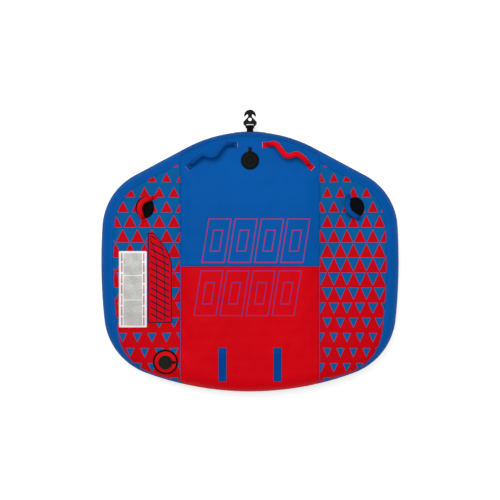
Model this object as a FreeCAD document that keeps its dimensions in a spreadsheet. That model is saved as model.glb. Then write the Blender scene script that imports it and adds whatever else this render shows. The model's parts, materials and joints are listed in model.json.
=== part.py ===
"""Towable tube: an inflated two-rider deck tube with a sewn cover, drawn as a parametric document.

Frame: +X to the tube's right, +Y towards its nose, +Z up, in millimetres.
The origin is the middle of the underside, on the line of the widest section.
"""
import FreeCAD, Part
import math
import os
import re

import Sketcher
from FreeCAD import Placement, Rotation, Vector

DOC = FreeCAD.newDocument("towable_tube")

SIZES = {
    # Hull outline, seen from above: nose arc, straight flank, shoulder, side, rear corner, tail.
    "hull_half_width": 850, "nose_reach": 740, "tail_reach": 746,
    "nose_radius": 773, "nose_arc_half": 364, "shoulder_radius": 353, "side_radius": 3170,
    "corner_radius": 368, "tail_radius": 1700,
    # Hull section.
    "hull_height": 300, "edge_round": 100, "join_height": 150,
    # Cover and bladder.
    "cover_wall": 1.5, "bladder_gap": 0.5, "bladder_wall": 1,
    "centre_half_width": 388, "colour_split_back": 29, "nose_seam_margin": 40,
    "wing_side_margin": 88, "wing_front_margin": 92, "wing_tail_margin": 17,
    "baffle_wall": 1, "baffle_inner_x": 130, "baffle_front_y": 440, "baffle_rear_y": 500,
    # Flat trim sewn or glued on the deck.
    "trim_wall": 2,
    "rear_bar_x": 153, "rear_bar_width": 46, "rear_bar_length": 188, "rear_bar_tail_inset": 78,
    "label_side_inset": 199, "label_back": 155,
    "label_width": 155, "label_length": 424, "label_wall": 0.8,
    "pad_side_inset": 275, "pad_nose_inset": 442, "pad_radius": 49, "pad_wall": 4,
    # Tow point: nose patch, webbing loop and moulded connector.
    "patch_half_width": 95, "patch_half_height": 42, "patch_wall": 2,
    "strap_width": 38, "strap_wall": 4.5, "strap_clearance": 0.4, "bar_reach": 34, "bar_radius": 8,
    "slot_half_width": 20.5, "slot_front": 22.4, "cheek_half_width": 27,
    "waist_half_width": 39, "waist_y": 24, "neck_half_width": 11.5, "neck_y": 57,
    "tow_hole_radius": 10.5, "tow_hole_y": 44, "arm_tip_half_width": 34.5, "arm_tip_y": 63,
    "arm_width": 9, "crown_y": 100, "connector_edge": 1.5,
    # Handles: two long padded ones on the bow, two short ones over the knuckle pads.
    "bow_grip_radius": 15, "bow_deck_gap": 1, "bow_rise": 38,
    "bow_inner_x": 104, "bow_inner_nose_inset": 92, "bow_outer_x": 324, "bow_outer_nose_inset": 201,
    "side_grip_radius": 12.5, "side_pad_gap": 1.5, "side_rise": 38, "side_bow": 34,
    "side_front_side_inset": 307, "side_front_nose_inset": 389,
    "side_rear_side_inset": 254, "side_rear_nose_inset": 496,
    "foot_length": 24, "foot_wall": 5, "foot_clearance": 2, "foot_sink": 10,
    # Inflation port under the round lid on the bow.
    "port_nose_inset": 180, "socket_inner_radius": 18, "socket_outer_radius": 24, "socket_depth": 33,
    "rim_radius": 32, "rim_height": 3, "fit_gap": 0.3, "membrane_wall": 1.5,
    "lid_radius": 49.5, "lid_wall": 5, "lid_edge_wall": 2, "lid_crown_inset": 4,
    "lid_plug_depth": 8, "lid_plug_gap": 0.7,
    "lid_tab_width": 22, "lid_tab_wall": 3, "lid_tab_root": 6, "lid_hinge_reach": 70,
    "anchor_length": 14, "anchor_overlap": 4,
    # Screw valve at the left rear corner.
    "valve_side_inset": 380, "valve_tail_inset": 186, "collar_radius": 70, "collar_width": 10,
    "cap_radius": 38.5, "cap_waist_radius": 33, "cap_waist_height": 5, "cap_head_height": 6,
    "cap_plug_depth": 12, "cap_low_edge": 1, "cap_high_edge": 2,
    "ring_wall": 4, "tether_length": 20, "tether_width": 12, "tether_wall": 2, "tether_root": 1,
    # Zip along the tail where the bladder goes in.
    "zip_half_length": 350, "zip_tape_height": 30, "zip_tape_wall": 1.2,
    "coil_height": 7, "coil_wall": 1.8, "slider_length": 16, "slider_height": 12, "slider_wall": 5,
    "slider_end_gap": 20, "puller_length": 34, "puller_width": 9, "puller_wall": 2.5,
    "zip_stop_length": 6, "zip_tape_end": 10,
    # Drain eyelets low on the tail.
    "eyelet_x": 250, "eyelet_height": 118, "eyelet_radius": 14, "eyelet_bore": 8,
    "eyelet_wall": 2, "eyelet_sleeve": 1.2, "eyelet_lift": 0.5, "eyelet_play": 0.3,
}

SHEET = DOC.addObject("Spreadsheet::Sheet", "Sizes")
for row, (alias, amount) in enumerate(SIZES.items(), start=1):
    SHEET.set(f"A{row}", alias)
    SHEET.set(f"B{row}", str(amount))
    SHEET.setAlias(f"B{row}", alias)
DOC.recompute()

NODES = []


def formula(text):
    """Give every size named in a formula its sheet prefix."""

    def prefixed(word):
        return f"Sizes.{word.group()}" if word.group() in SIZES else word.group()

    return re.sub("[a-z_]+", prefixed, text)


def amount_of(text):
    """Number that a formula over the sheet gives, in millimetres."""
    result = SHEET.evalExpression(formula(str(text)))
    return float(getattr(result, "Value", result))


def bind(thing, prop, text):
    """Tie a property to a formula over the sheet."""
    thing.setExpression(prop, formula(str(text)))


def keep(thing, node):
    """Name an object as one of the tube's sub-parts."""
    thing.Label = node
    NODES.append(thing)
    return thing


def place(thing, x="0", y="0", z="0", turn=0.0):
    """Put an object at formulas for X, Y and Z, turned about Z by a number of degrees."""
    thing.Placement = Placement(Vector(0, 0, 0), Rotation(Vector(0, 0, 1), turn))
    for axis, text in (("x", x), ("y", y), ("z", z)):
        if str(text) != "0":
            bind(thing, f"Placement.Base.{axis}", text)
    return thing


# ---------------------------------------------------------------- primitives and booleans

def box(title, x_range, y_range, z_range):
    """Part::Box between formulas for its low and high sides."""
    solid = DOC.addObject("Part::Box", title)
    for prop, (low, high) in (("Length", x_range), ("Width", y_range), ("Height", z_range)):
        bind(solid, prop, f"( {high} ) - ( {low} )")
    return place(solid, x_range[0], y_range[0], z_range[0])


def cylinder(title, radius, z_low, z_high, x="0", y="0"):
    """Upright Part::Cylinder."""
    solid = DOC.addObject("Part::Cylinder", title)
    bind(solid, "Radius", radius)
    bind(solid, "Height", f"( {z_high} ) - ( {z_low} )")
    return place(solid, x, y, z_low)


def crossbar(title, radius, half_length, y, z):
    """Part::Cylinder that lies along X, centred on X = 0."""
    solid = DOC.addObject("Part::Cylinder", title)
    bind(solid, "Radius", radius)
    bind(solid, "Height", f"2 * ( {half_length} )")
    solid.Placement = Placement(Vector(0, 0, 0), Rotation(Vector(0, 1, 0), 90))
    bind(solid, "Placement.Base.x", f"-( {half_length} )")
    bind(solid, "Placement.Base.y", y)
    bind(solid, "Placement.Base.z", z)
    return solid


def cut(title, base, *tools):
    """Base with every tool taken away."""
    for number, tool in enumerate(tools):
        last = number == len(tools) - 1
        result = DOC.addObject("Part::Cut", title if last else f"{title}_step{number}")
        result.Base = base
        result.Tool = tool
        base = result
    return base


def common(title, base, tool):
    """What two solids share."""
    result = DOC.addObject("Part::Common", title)
    result.Base = base
    result.Tool = tool
    return result


def fuse(title, *solids):
    """All the solids as one, with the seams between them removed."""
    result = DOC.addObject("Part::MultiFuse", title)
    result.Shapes = list(solids)
    result.Refine = True
    return result


# ---------------------------------------------------------------- sketches and bodies

def new_body(title):
    """PartDesign body at the document's origin."""
    return DOC.addObject("PartDesign::Body", title)


def new_sketch(body, title, role, offset="0"):
    """Sketch on one of the body's own origin planes, moved along the plane's normal."""
    plane = next(item for item in body.Origin.OriginFeatures if item.Role == role)
    sketch = body.newObject("Sketcher::SketchObject", title)
    sketch.AttachmentSupport = [(plane, "")]
    sketch.MapMode = "FlatFace"
    if str(offset) != "0":
        bind(sketch, "AttachmentOffset.Base.z", offset)
    return sketch


def pin_point(sketch, geometry, point, across, up):
    """Hold a sketch point at formulas for its two coordinates."""
    for kind, axis, text in (("DistanceX", -2, across), ("DistanceY", -1, up)):
        number = amount_of(text)
        if abs(number) < 1e-9:
            sketch.addConstraint(Sketcher.Constraint("PointOnObject", geometry, point, axis))
        elif number > 0:
            index = sketch.addConstraint(Sketcher.Constraint(kind, -1, 1, geometry, point, number))
            bind(sketch, f"Constraints[{index}]", text)
        else:
            index = sketch.addConstraint(Sketcher.Constraint(kind, geometry, point, -1, 1, -number))
            bind(sketch, f"Constraints[{index}]", f"-( {text} )")


def polygon(sketch, corners):
    """Closed polygon whose corners are pairs of formulas."""
    spots = [Vector(amount_of(across), amount_of(up), 0) for across, up in corners]
    count = len(spots)
    lines = [Part.LineSegment(spots[i], spots[(i + 1) % count]) for i in range(count)]
    sketch.addGeometry(lines, False)
    for i in range(count):
        sketch.addConstraint(Sketcher.Constraint("Coincident", i, 2, (i + 1) % count, 1))
    for i, (across, up) in enumerate(corners):
        pin_point(sketch, i, 1, across, up)


def circle(sketch, across, up, radius):
    """Circle at formulas for its centre and radius."""
    centre = Vector(amount_of(across), amount_of(up), 0)
    index = sketch.addGeometry(Part.Circle(centre, Vector(0, 0, 1), amount_of(radius)), False)
    pin_point(sketch, index, 3, across, up)
    label = sketch.addConstraint(Sketcher.Constraint("Radius", index, amount_of(radius)))
    bind(sketch, f"Constraints[{label}]", radius)


def pad(body, title, sketch, length, both_ways=False):
    """Pad along the sketch's normal, or centred on the sketch."""
    feature = body.newObject("PartDesign::Pad", title)
    feature.Profile = sketch
    bind(feature, "Length", length)
    feature.Midplane = both_ways
    return feature


def pocket(body, title, sketch, both_ways=True):
    """Pocket right through the body, which must lose volume."""
    DOC.recompute()
    before = body.Shape.Volume
    feature = body.newObject("PartDesign::Pocket", title)
    feature.Profile = sketch
    feature.Type = "ThroughAll"
    feature.Midplane = both_ways
    DOC.recompute()
    if body.Shape.Volume >= before:
        raise RuntimeError(f"{title} cuts nothing")
    return feature


def revolve(title, corners, x, y):
    """Body turned about its own upright axis from corners given as (radius, height)."""
    body = new_body(title)
    sketch = new_sketch(body, f"{title}_profile", "XZ_Plane")
    polygon(sketch, corners)
    feature = body.newObject("PartDesign::Revolution", f"{title}_turn")
    feature.Profile = sketch
    feature.ReferenceAxis = (sketch, ["V_Axis"])
    feature.Angle = 360
    return place(body, x, y)


def dress_level_edges(body, feature, kind, prop, amount, levels):
    """Fillet or chamfer the edges of a feature that lie wholly at the given heights."""
    DOC.recompute()
    names = []
    for number, edge in enumerate(feature.Shape.Edges, start=1):
        heights = [vertex.Z for vertex in edge.Vertexes]
        if any(max(abs(z - level) for z in heights) < 1e-6 for level in levels):
            names.append(f"Edge{number}")
    dressing = body.newObject(f"PartDesign::{kind}", f"{feature.Name}_{kind}")
    dressing.Base = (feature, names)
    bind(dressing, prop, amount)
    return dressing


# ---------------------------------------------------------------- hull outline

def hull_outline(margin="0"):
    """Formulas of the hull outline, moved inwards by a margin."""
    return {
        "half_width": f"hull_half_width - ( {margin} )",
        "nose": f"nose_reach - ( {margin} )",
        "tail": f"tail_reach - ( {margin} )",
        "nose_radius": f"nose_radius - ( {margin} )",
        "nose_half": f"nose_arc_half * ( nose_radius - ( {margin} ) ) / nose_radius",
        "shoulder_radius": f"shoulder_radius - ( {margin} )",
        "side_radius": f"side_radius - ( {margin} )",
        "corner_radius": f"corner_radius - ( {margin} )",
        "tail_radius": f"tail_radius - ( {margin} )",
    }


def wing_outline():
    """Formulas of the wing panels' edge: a different margin at the sides, the front and the tail."""
    outline = hull_outline("wing_side_margin")
    front = hull_outline("wing_front_margin")
    rear = hull_outline("wing_tail_margin")
    for key in ("nose", "nose_radius", "nose_half", "shoulder_radius"):
        outline[key] = front[key]
    for key in ("tail", "tail_radius"):
        outline[key] = rear[key]
    return outline


def circle_crossing(centre_a, radius_a, centre_b, radius_b):
    """Lower crossing point of two circles."""
    span = centre_b - centre_a
    distance = span.Length
    along = (distance ** 2 + radius_a ** 2 - radius_b ** 2) / (2 * distance)
    aside = math.sqrt(radius_a ** 2 - along ** 2)
    unit = span / distance
    normal = Vector(-unit.y, unit.x, 0)
    ends = [centre_a + unit * along + normal * (aside * sign) for sign in (1, -1)]
    return min(ends, key=lambda point: point.y)


def outline_curves(outline):
    """Tangent arcs and flanks of an outline, anticlockwise from the nose arc."""
    size = {key: amount_of(text) for key, text in outline.items()}
    nose_centre = Vector(0, size["nose"] - size["nose_radius"], 0)
    slope = math.asin(size["nose_half"] / size["nose_radius"])
    inward = Vector(-math.sin(slope), -math.cos(slope), 0)
    down_flank = Vector(math.cos(slope), -math.sin(slope), 0)
    flank_top = nose_centre - inward * size["nose_radius"]
    side_centre = Vector(size["half_width"] - size["side_radius"], 0, 0)
    # The shoulder centre is on a line beside the flank and inside the side arc.
    start = flank_top + inward * size["shoulder_radius"] - side_centre
    reach = size["side_radius"] - size["shoulder_radius"]
    middle = start.dot(down_flank)
    step = -middle + math.sqrt(middle ** 2 - start.dot(start) + reach ** 2)
    shoulder_centre = side_centre + start + down_flank * step
    flank_foot = shoulder_centre - inward * size["shoulder_radius"]
    tail_centre = Vector(0, size["tail_radius"] - size["tail"], 0)
    corner_centre = circle_crossing(side_centre, size["side_radius"] - size["corner_radius"],
                                    tail_centre, size["tail_radius"] - size["corner_radius"])

    def heading(origin, target):
        return math.atan2(target.y - origin.y, target.x - origin.x)

    def mirrored(point):
        return Vector(-point.x, point.y, 0)

    def arc(centre, radius, first, last):
        return Part.ArcOfCircle(Part.Circle(centre, Vector(0, 0, 1), radius), first, last)

    to_shoulder = heading(side_centre, shoulder_centre)
    to_corner = heading(side_centre, corner_centre)
    to_tail = heading(tail_centre, corner_centre)
    half = math.pi / 2
    spans = {
        "shoulder": (shoulder_centre, size["shoulder_radius"], to_shoulder, half - slope),
        "side": (side_centre, size["side_radius"], to_corner, to_shoulder),
        "corner": (corner_centre, size["corner_radius"], to_tail, to_corner),
    }
    right = {name: arc(*span) for name, span in spans.items()}
    left = {
        name: arc(mirrored(centre), radius, math.pi - last, math.pi - first)
        for name, (centre, radius, first, last) in spans.items()
    }
    return [
        arc(nose_centre, size["nose_radius"], half - slope, half + slope),
        Part.LineSegment(mirrored(flank_top), mirrored(flank_foot)),
        left["shoulder"], left["side"], left["corner"],
        arc(tail_centre, size["tail_radius"], -math.pi - to_tail, to_tail),
        right["corner"], right["side"], right["shoulder"],
        Part.LineSegment(flank_foot, flank_top),
    ]


def draw_outline(sketch, outline):
    """Sketch an outline: curves tangent end to end, with its radii and reaches as dimensions."""
    sketch.addGeometry(outline_curves(outline), False)
    nose, tail = 0, 5
    left_sides, right_sides = (2, 3, 4), (8, 7, 6)
    for i in range(10):
        sketch.addConstraint(Sketcher.Constraint("Tangent", i, 2, (i + 1) % 10, 1))
    radii = {nose: "nose_radius", tail: "tail_radius"}
    for shoulder, side, corner in (left_sides, right_sides):
        radii.update({shoulder: "shoulder_radius", side: "side_radius", corner: "corner_radius"})
    for index, key in radii.items():
        number = sketch.addConstraint(Sketcher.Constraint("Radius", index, amount_of(outline[key])))
        bind(sketch, f"Constraints[{number}]", outline[key])
    pin_point(sketch, nose, 3, "0", f"{outline['nose']} - ( {outline['nose_radius']} )")
    pin_point(sketch, tail, 3, "0", f"{outline['tail_radius']} - ( {outline['tail']} )")
    inner = f"{outline['side_radius']} - ( {outline['half_width']} )"
    pin_point(sketch, left_sides[1], 3, inner, "0")
    pin_point(sketch, right_sides[1], 3, f"-( {inner} )", "0")
    for point, sign in ((1, 1), (2, -1)):
        across = outline["nose_half"]
        order = (-1, 1, nose, point) if sign > 0 else (nose, point, -1, 1)
        number = sketch.addConstraint(Sketcher.Constraint("DistanceX", *order, amount_of(across)))
        bind(sketch, f"Constraints[{number}]", across)


def hull_solid(title, margin):
    """Hull shape moved inwards by a margin on every side, with round edges."""
    body = new_body(title)
    sketch = new_sketch(body, f"{title}_outline", "XY_Plane", margin)
    draw_outline(sketch, hull_outline(margin))
    block = pad(body, f"{title}_block", sketch, f"hull_height - 2 * ( {margin} )")
    depth = amount_of(margin)
    levels = (depth, amount_of("hull_height") - depth)
    dress_level_edges(body, block, "Fillet", "Radius", f"edge_round - ( {margin} )", levels)
    return body


def prism(title, outline, low, high):
    """Upright block of an outline between two heights."""
    body = new_body(title)
    sketch = new_sketch(body, f"{title}_outline", "XY_Plane", low)
    draw_outline(sketch, outline)
    pad(body, f"{title}_block", sketch, f"( {high} ) - ( {low} )")
    return body


OUTSIDE = "2 * hull_half_width"
ABOVE = "2 * hull_height"
UNDER_DECK = "hull_height / 2"
PORT_Y = "nose_reach - port_nose_inset"
VALVE_X = "valve_side_inset - hull_half_width"
VALVE_Y = "valve_tail_inset - tail_reach"


# ---------------------------------------------------------------- bladder and cover

def make_bladder(shells):
    """Welded air bladder with upright baffles that hold the deck flat."""
    inside = shells["bladder_inside"]
    wall = cut("bladder_wall", shells["bladder_outside"], inside)
    port = cylinder("bladder_port_hole", "socket_outer_radius", UNDER_DECK, ABOVE, "0", PORT_Y)
    valve = cylinder("bladder_valve_hole", "socket_outer_radius", UNDER_DECK, ABOVE, VALVE_X, VALVE_Y)
    keep(cut("bladder_shell", wall, port, valve), "bladder")
    places = {
        "outer_left": "-centre_half_width", "inner_left": "-baffle_inner_x",
        "inner_right": "baffle_inner_x", "outer_right": "centre_half_width",
    }
    for side, x in places.items():
        plate = box(f"baffle_plate_{side}", (f"{x} - baffle_wall / 2", f"{x} + baffle_wall / 2"),
                    ("-baffle_rear_y", "baffle_front_y"), ("0", "hull_height"))
        keep(common(f"baffle_{side}_sheet", plate, inside), f"baffle_{side}")


def make_cover(shells):
    """Sewn cover: centre panels, printed wings, side and nose bands, and the underside."""
    cover = cut("cover_shell", shells["hull"], shells["cover_inside"])
    deck_edge = prism("nose_seam", hull_outline("nose_seam_margin"), "join_height", ABOVE)
    wing_edge = prism("wing_seam", wing_outline(), "join_height", ABOVE)
    port = cylinder("cover_port_hole", "socket_outer_radius", UNDER_DECK, ABOVE, "0", PORT_Y)
    window = cylinder("valve_window", "collar_radius - collar_width", UNDER_DECK, ABOVE, VALVE_X, VALVE_Y)
    middle = ("-centre_half_width", "centre_half_width")
    top = ("join_height", ABOVE)

    centre_front = box("centre_front_zone", middle, ("-colour_split_back", OUTSIDE), top)
    front_cover = common("front_cover", cover, centre_front)
    keep(cut("deck_front", common("deck_front_whole", front_cover, deck_edge), port), "deck_panel_front")
    keep(cut("nose_strip", front_cover, deck_edge), "nose_band")

    centre_rear = box("centre_rear_zone", middle, (f"-( {OUTSIDE} )", "-colour_split_back"), top)
    keep(common("deck_rear", cover, centre_rear), "deck_panel_rear")

    for side, low, high in (("left", f"-( {OUTSIDE} )", "-centre_half_width"),
                            ("right", "centre_half_width", OUTSIDE)):
        zone = box(f"{side}_zone", (low, high), (f"-( {OUTSIDE} )", OUTSIDE), top)
        side_cover = common(f"{side}_cover", cover, zone)
        wing = common(f"{side}_wing", side_cover, wing_edge)
        band = cut(f"{side}_band", side_cover, wing_edge)
        if side == "left":
            wing = cut("left_wing_open", wing, window)
            band = cut("left_band_open", band, window)
        keep(wing, f"wing_panel_{side}")
        keep(band, f"side_band_{side}")

    under = box("under_zone", (f"-( {OUTSIDE} )", OUTSIDE), (f"-( {OUTSIDE} )", OUTSIDE),
                ("-hull_height", "join_height"))
    underside = common("underside", cover, under)
    drain_radius = "eyelet_bore + eyelet_sleeve + eyelet_play"
    drains = [eyelet_core(f"drain_cut_{side}", sign, drain_radius, "3 * eyelet_radius")
              for side, sign in (("left", -1), ("right", 1))]
    keep(cut("underside_open", underside, *drains), "bottom_panel")

    dish = common("valve_dish", cover, window)
    bore = cylinder("valve_dish_hole", "socket_outer_radius", UNDER_DECK, ABOVE, VALVE_X, VALVE_Y)
    keep(cut("valve_dish_open", dish, bore), "rear_valve_dish")


def make_trim(shells):
    """Flat pieces on the deck: webbing bars, blank label, knuckle pads and the valve's collar."""
    skin = cut("trim_skin", shells["trim"], shells["hull"])
    for side, sign in (("left", "-"), ("right", "")):
        middle = f"{sign}rear_bar_x"
        rear_end = "rear_bar_tail_inset - tail_reach"
        across = (f"{middle} - rear_bar_width / 2", f"{middle} + rear_bar_width / 2")
        bar = box(f"rear_bar_zone_{side}", across, (rear_end, f"{rear_end} + rear_bar_length"),
                  (UNDER_DECK, ABOVE))
        keep(common(f"rear_bar_{side}", skin, bar), f"rear_strap_{side}")
        disc = cylinder(f"knuckle_disc_{side}", "pad_radius", "hull_height", "hull_height + pad_wall",
                        f"{sign}( hull_half_width - pad_side_inset )", "nose_reach - pad_nose_inset")
        keep(disc, f"knuckle_pad_{side}")
    label_x = "label_side_inset - hull_half_width"
    label = box("label_sheet", (f"{label_x} - label_width / 2", f"{label_x} + label_width / 2"),
                ("-label_back - label_length / 2", "-label_back + label_length / 2"),
                ("hull_height", "hull_height + label_wall"))
    keep(label, "label_patch")
    outer = cylinder("collar_outer", "collar_radius", UNDER_DECK, ABOVE, VALVE_X, VALVE_Y)
    inner = cylinder("collar_inner", "collar_radius - collar_width", "0", ABOVE, VALVE_X, VALVE_Y)
    keep(common("collar_binding", skin, cut("collar_zone", outer, inner)), "rear_valve_collar")


# ---------------------------------------------------------------- tow point

STRAP_PIVOT = "nose_reach + patch_wall + strap_clearance + strap_wall"
BAR_Y = "nose_reach + bar_reach"


def make_tow_patch():
    """Reinforcement sewn on the nose, wrapped round the nose arc."""
    low = "join_height - patch_half_height"
    high = "join_height + patch_half_height"
    centre = "nose_reach - nose_radius"
    outer = cylinder("patch_outer", "nose_radius + patch_wall", low, high, "0", centre)
    inner = cylinder("patch_inner", "nose_radius", low, high, "0", centre)
    zone = box("patch_zone", ("-patch_half_width", "patch_half_width"), ("0", OUTSIDE), (low, high))
    keep(common("patch", cut("patch_ring", outer, inner), zone), "tow_patch")


def make_tow_strap():
    """Doubled webbing that leaves the nose and loops round the connector's bar."""
    loop_radius = "bar_radius + strap_clearance + strap_wall"
    body = new_body("strap_layers")
    sketch = new_sketch(body, "strap_side", "YZ_Plane")
    polygon(sketch, [
        (STRAP_PIVOT, "join_height - strap_wall"), (BAR_Y, f"join_height - ( {loop_radius} )"),
        (BAR_Y, f"join_height + ( {loop_radius} )"), (STRAP_PIVOT, "join_height + strap_wall"),
    ])
    pad(body, "strap_layers_block", sketch, "strap_width", both_ways=True)
    half = "strap_width / 2"
    root = crossbar("strap_root", "strap_wall", half, STRAP_PIVOT, "join_height")
    loop = crossbar("strap_loop", loop_radius, half, BAR_Y, "join_height")
    eye = crossbar("strap_eye", "bar_radius + strap_clearance", "strap_width", BAR_Y, "join_height")
    keep(cut("strap", fuse("strap_whole", body, root, loop), eye), "tow_strap")


def make_tow_connector():
    """Moulded connector: crossbar and slot, hole, neck, and a round crown with drooping rope arms."""
    body = new_body("connector")
    flank = [
        ("slot_half_width", "slot_front"), ("slot_half_width", "0"),
        ("cheek_half_width", "0"), ("waist_half_width", "waist_y"), ("neck_half_width", "neck_y"),
        ("neck_half_width", "arm_tip_y + 1.5 * arm_width"),
        ("arm_tip_half_width - arm_width", "arm_tip_y + arm_width"),
        ("arm_tip_half_width - arm_width", "arm_tip_y"), ("arm_tip_half_width", "arm_tip_y"),
    ]
    # The crown is a half circle as wide as the arms, drawn as short runs.
    crown = [(f"arm_tip_half_width * cos( {turn} )", f"crown_y - arm_tip_half_width * ( 1 - sin( {turn} ) )")
             for turn in (16, 33, 50, 67, 82)]
    right = flank + crown
    left = [(f"-( {across} )", along) for across, along in reversed(right)]
    sketch = new_sketch(body, "connector_outline", "XY_Plane", "-bar_radius")
    polygon(sketch, right + left)
    plate = pad(body, "connector_plate", sketch, "2 * bar_radius")
    thickness = amount_of("bar_radius")
    dress_level_edges(body, plate, "Chamfer", "Size", "connector_edge", (-thickness, thickness))
    hole = new_sketch(body, "connector_hole", "XY_Plane")
    circle(hole, "0", "tow_hole_y", "tow_hole_radius")
    pocket(body, "connector_hole_cut", hole)
    place(body, "0", BAR_Y, "join_height")
    bar = crossbar("connector_bar", "bar_radius", "cheek_half_width", BAR_Y, "join_height")
    keep(fuse("connector_whole", body, bar), "tow_connector")


# ---------------------------------------------------------------- handles

# Shape of a bow handle between its pivots: share of the chord, sideways wave, share of the rise.
BOW_ROUTE = [
    (0.00, 0, 0.00), (0.13, 18, 0.70), (0.30, -3, 1.00), (0.46, -22, 1.00),
    (0.57, -10, 1.00), (0.66, 18, 1.00), (0.84, 13, 0.75), (1.00, 0, 0.00),
]
# Shape of a side handle: share of the chord, share of the sideways bow, share of the rise.
SIDE_ROUTE = [
    (0.00, 0.0, 0.00), (0.13, 0.45, 0.60), (0.36, 1.0, 1.00),
    (0.64, 1.0, 1.00), (0.87, 0.45, 0.60), (1.00, 0.0, 0.00),
]


def rounded_wire(points, tightest):
    """Straight runs joined by tangent arcs, each as wide as its two runs allow."""
    share = 0.48
    edges = []
    previous = points[0]
    for before, corner, after in zip(points, points[1:], points[2:]):
        back = (before - corner).normalize()
        ahead = (after - corner).normalize()
        reach = share * min((before - corner).Length, (after - corner).Length)
        turn = math.pi - back.getAngle(ahead)
        if reach / math.tan(turn / 2) < tightest:
            raise RuntimeError("a handle bends tighter than its own radius")
        first = corner + back * reach
        last = corner + ahead * reach
        bisector = (back + ahead).normalize()
        radius = reach / math.tan(turn / 2)
        middle = corner + bisector * (math.hypot(reach, radius) - radius)
        edges.append(Part.LineSegment(previous, first).toShape())
        edges.append(Part.Arc(first, middle, last).toShape())
        previous = last
    edges.append(Part.LineSegment(previous, points[-1]).toShape())
    return Part.Wire(edges)


def make_handle(name, start, end, route, radius, pivot, hull):
    """Padded grip between two pivots above the deck, and the two ends sewn flat on the deck."""
    deck = amount_of("hull_height")
    height = amount_of(pivot)
    first = Vector(amount_of(start[0]), amount_of(start[1]), deck + height)
    last = Vector(amount_of(end[0]), amount_of(end[1]), deck + height)
    chord = last - first
    side = Vector(-chord.y, chord.x, 0).normalize()
    points = [first + chord * along + side * aside + Vector(0, 0, rise) for along, aside, rise in route]
    thickness = amount_of(radius)
    path = rounded_wire(points, thickness)
    section = Part.Wire(Part.Circle(first, points[1] - points[0], thickness).toShape())
    grip = DOC.addObject("Part::Feature", f"{name}_tube")
    grip.Shape = path.makePipeShell([section], True, False)
    keep(grip, f"{name}_grip")
    for end_name, spot, neighbour in (("front", points[0], points[1]), ("rear", points[-1], points[-2])):
        away = Vector(spot.x - neighbour.x, spot.y - neighbour.y, 0)
        turn = math.degrees(math.atan2(away.y, away.x))
        foot = DOC.addObject("Part::Box", f"{name}_{end_name}_sewn_end")
        bind(foot, "Length", "foot_length")
        bind(foot, "Width", f"2 * {radius}")
        bind(foot, "Height", "foot_wall + foot_sink")
        below = height - amount_of("foot_wall")
        gap = math.sqrt(max(thickness ** 2 - below ** 2, 0)) + amount_of("foot_clearance")
        corner = Rotation(Vector(0, 0, 1), turn).multVec(Vector(gap, -thickness, 0))
        base = Vector(spot.x, spot.y, deck - amount_of("foot_sink"))
        foot.Placement = Placement(base + corner, Rotation(Vector(0, 0, 1), turn))
        keep(cut(f"{name}_{end_name}_on_deck", foot, hull), f"{name}_foot_{end_name}")


def make_handles(hull):
    """Bow handles mirrored left and right; side handles lean outwards on the left, inwards on the right."""
    bow_rise = amount_of("bow_rise")
    side_rise = amount_of("side_rise")
    side_bow = amount_of("side_bow")
    for name, sign, mirror in (("bow_left", "-", -1), ("bow_right", "", 1)):
        route = [(along, aside * mirror, share * bow_rise) for along, aside, share in BOW_ROUTE]
        inner = (f"{sign}bow_inner_x", "nose_reach - bow_inner_nose_inset")
        outer = (f"{sign}bow_outer_x", "nose_reach - bow_outer_nose_inset")
        make_handle(name, inner, outer, route, "bow_grip_radius", "bow_grip_radius + bow_deck_gap", hull)
    for name, sign in (("side_left", "-"), ("side_right", "")):
        route = [(along, -aside * side_bow, share * side_rise) for along, aside, share in SIDE_ROUTE]
        front = (f"{sign}( hull_half_width - side_front_side_inset )", "nose_reach - side_front_nose_inset")
        rear = (f"{sign}( hull_half_width - side_rear_side_inset )", "nose_reach - side_rear_nose_inset")
        make_handle(name, front, rear, route, "side_grip_radius",
                    "side_grip_radius + pad_wall + side_pad_gap", hull)


# ---------------------------------------------------------------- valves

RIM_TOP = "hull_height + rim_height"


def make_socket(title, x, y, node):
    """Flanged tube through cover and bladder."""
    floor = "hull_height - socket_depth"
    corners = [
        ("socket_inner_radius", floor), ("socket_outer_radius", floor),
        ("socket_outer_radius", "hull_height"), ("rim_radius", "hull_height"),
        ("rim_radius", RIM_TOP), ("socket_inner_radius", RIM_TOP),
    ]
    keep(revolve(title, corners, x, y), node)


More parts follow.
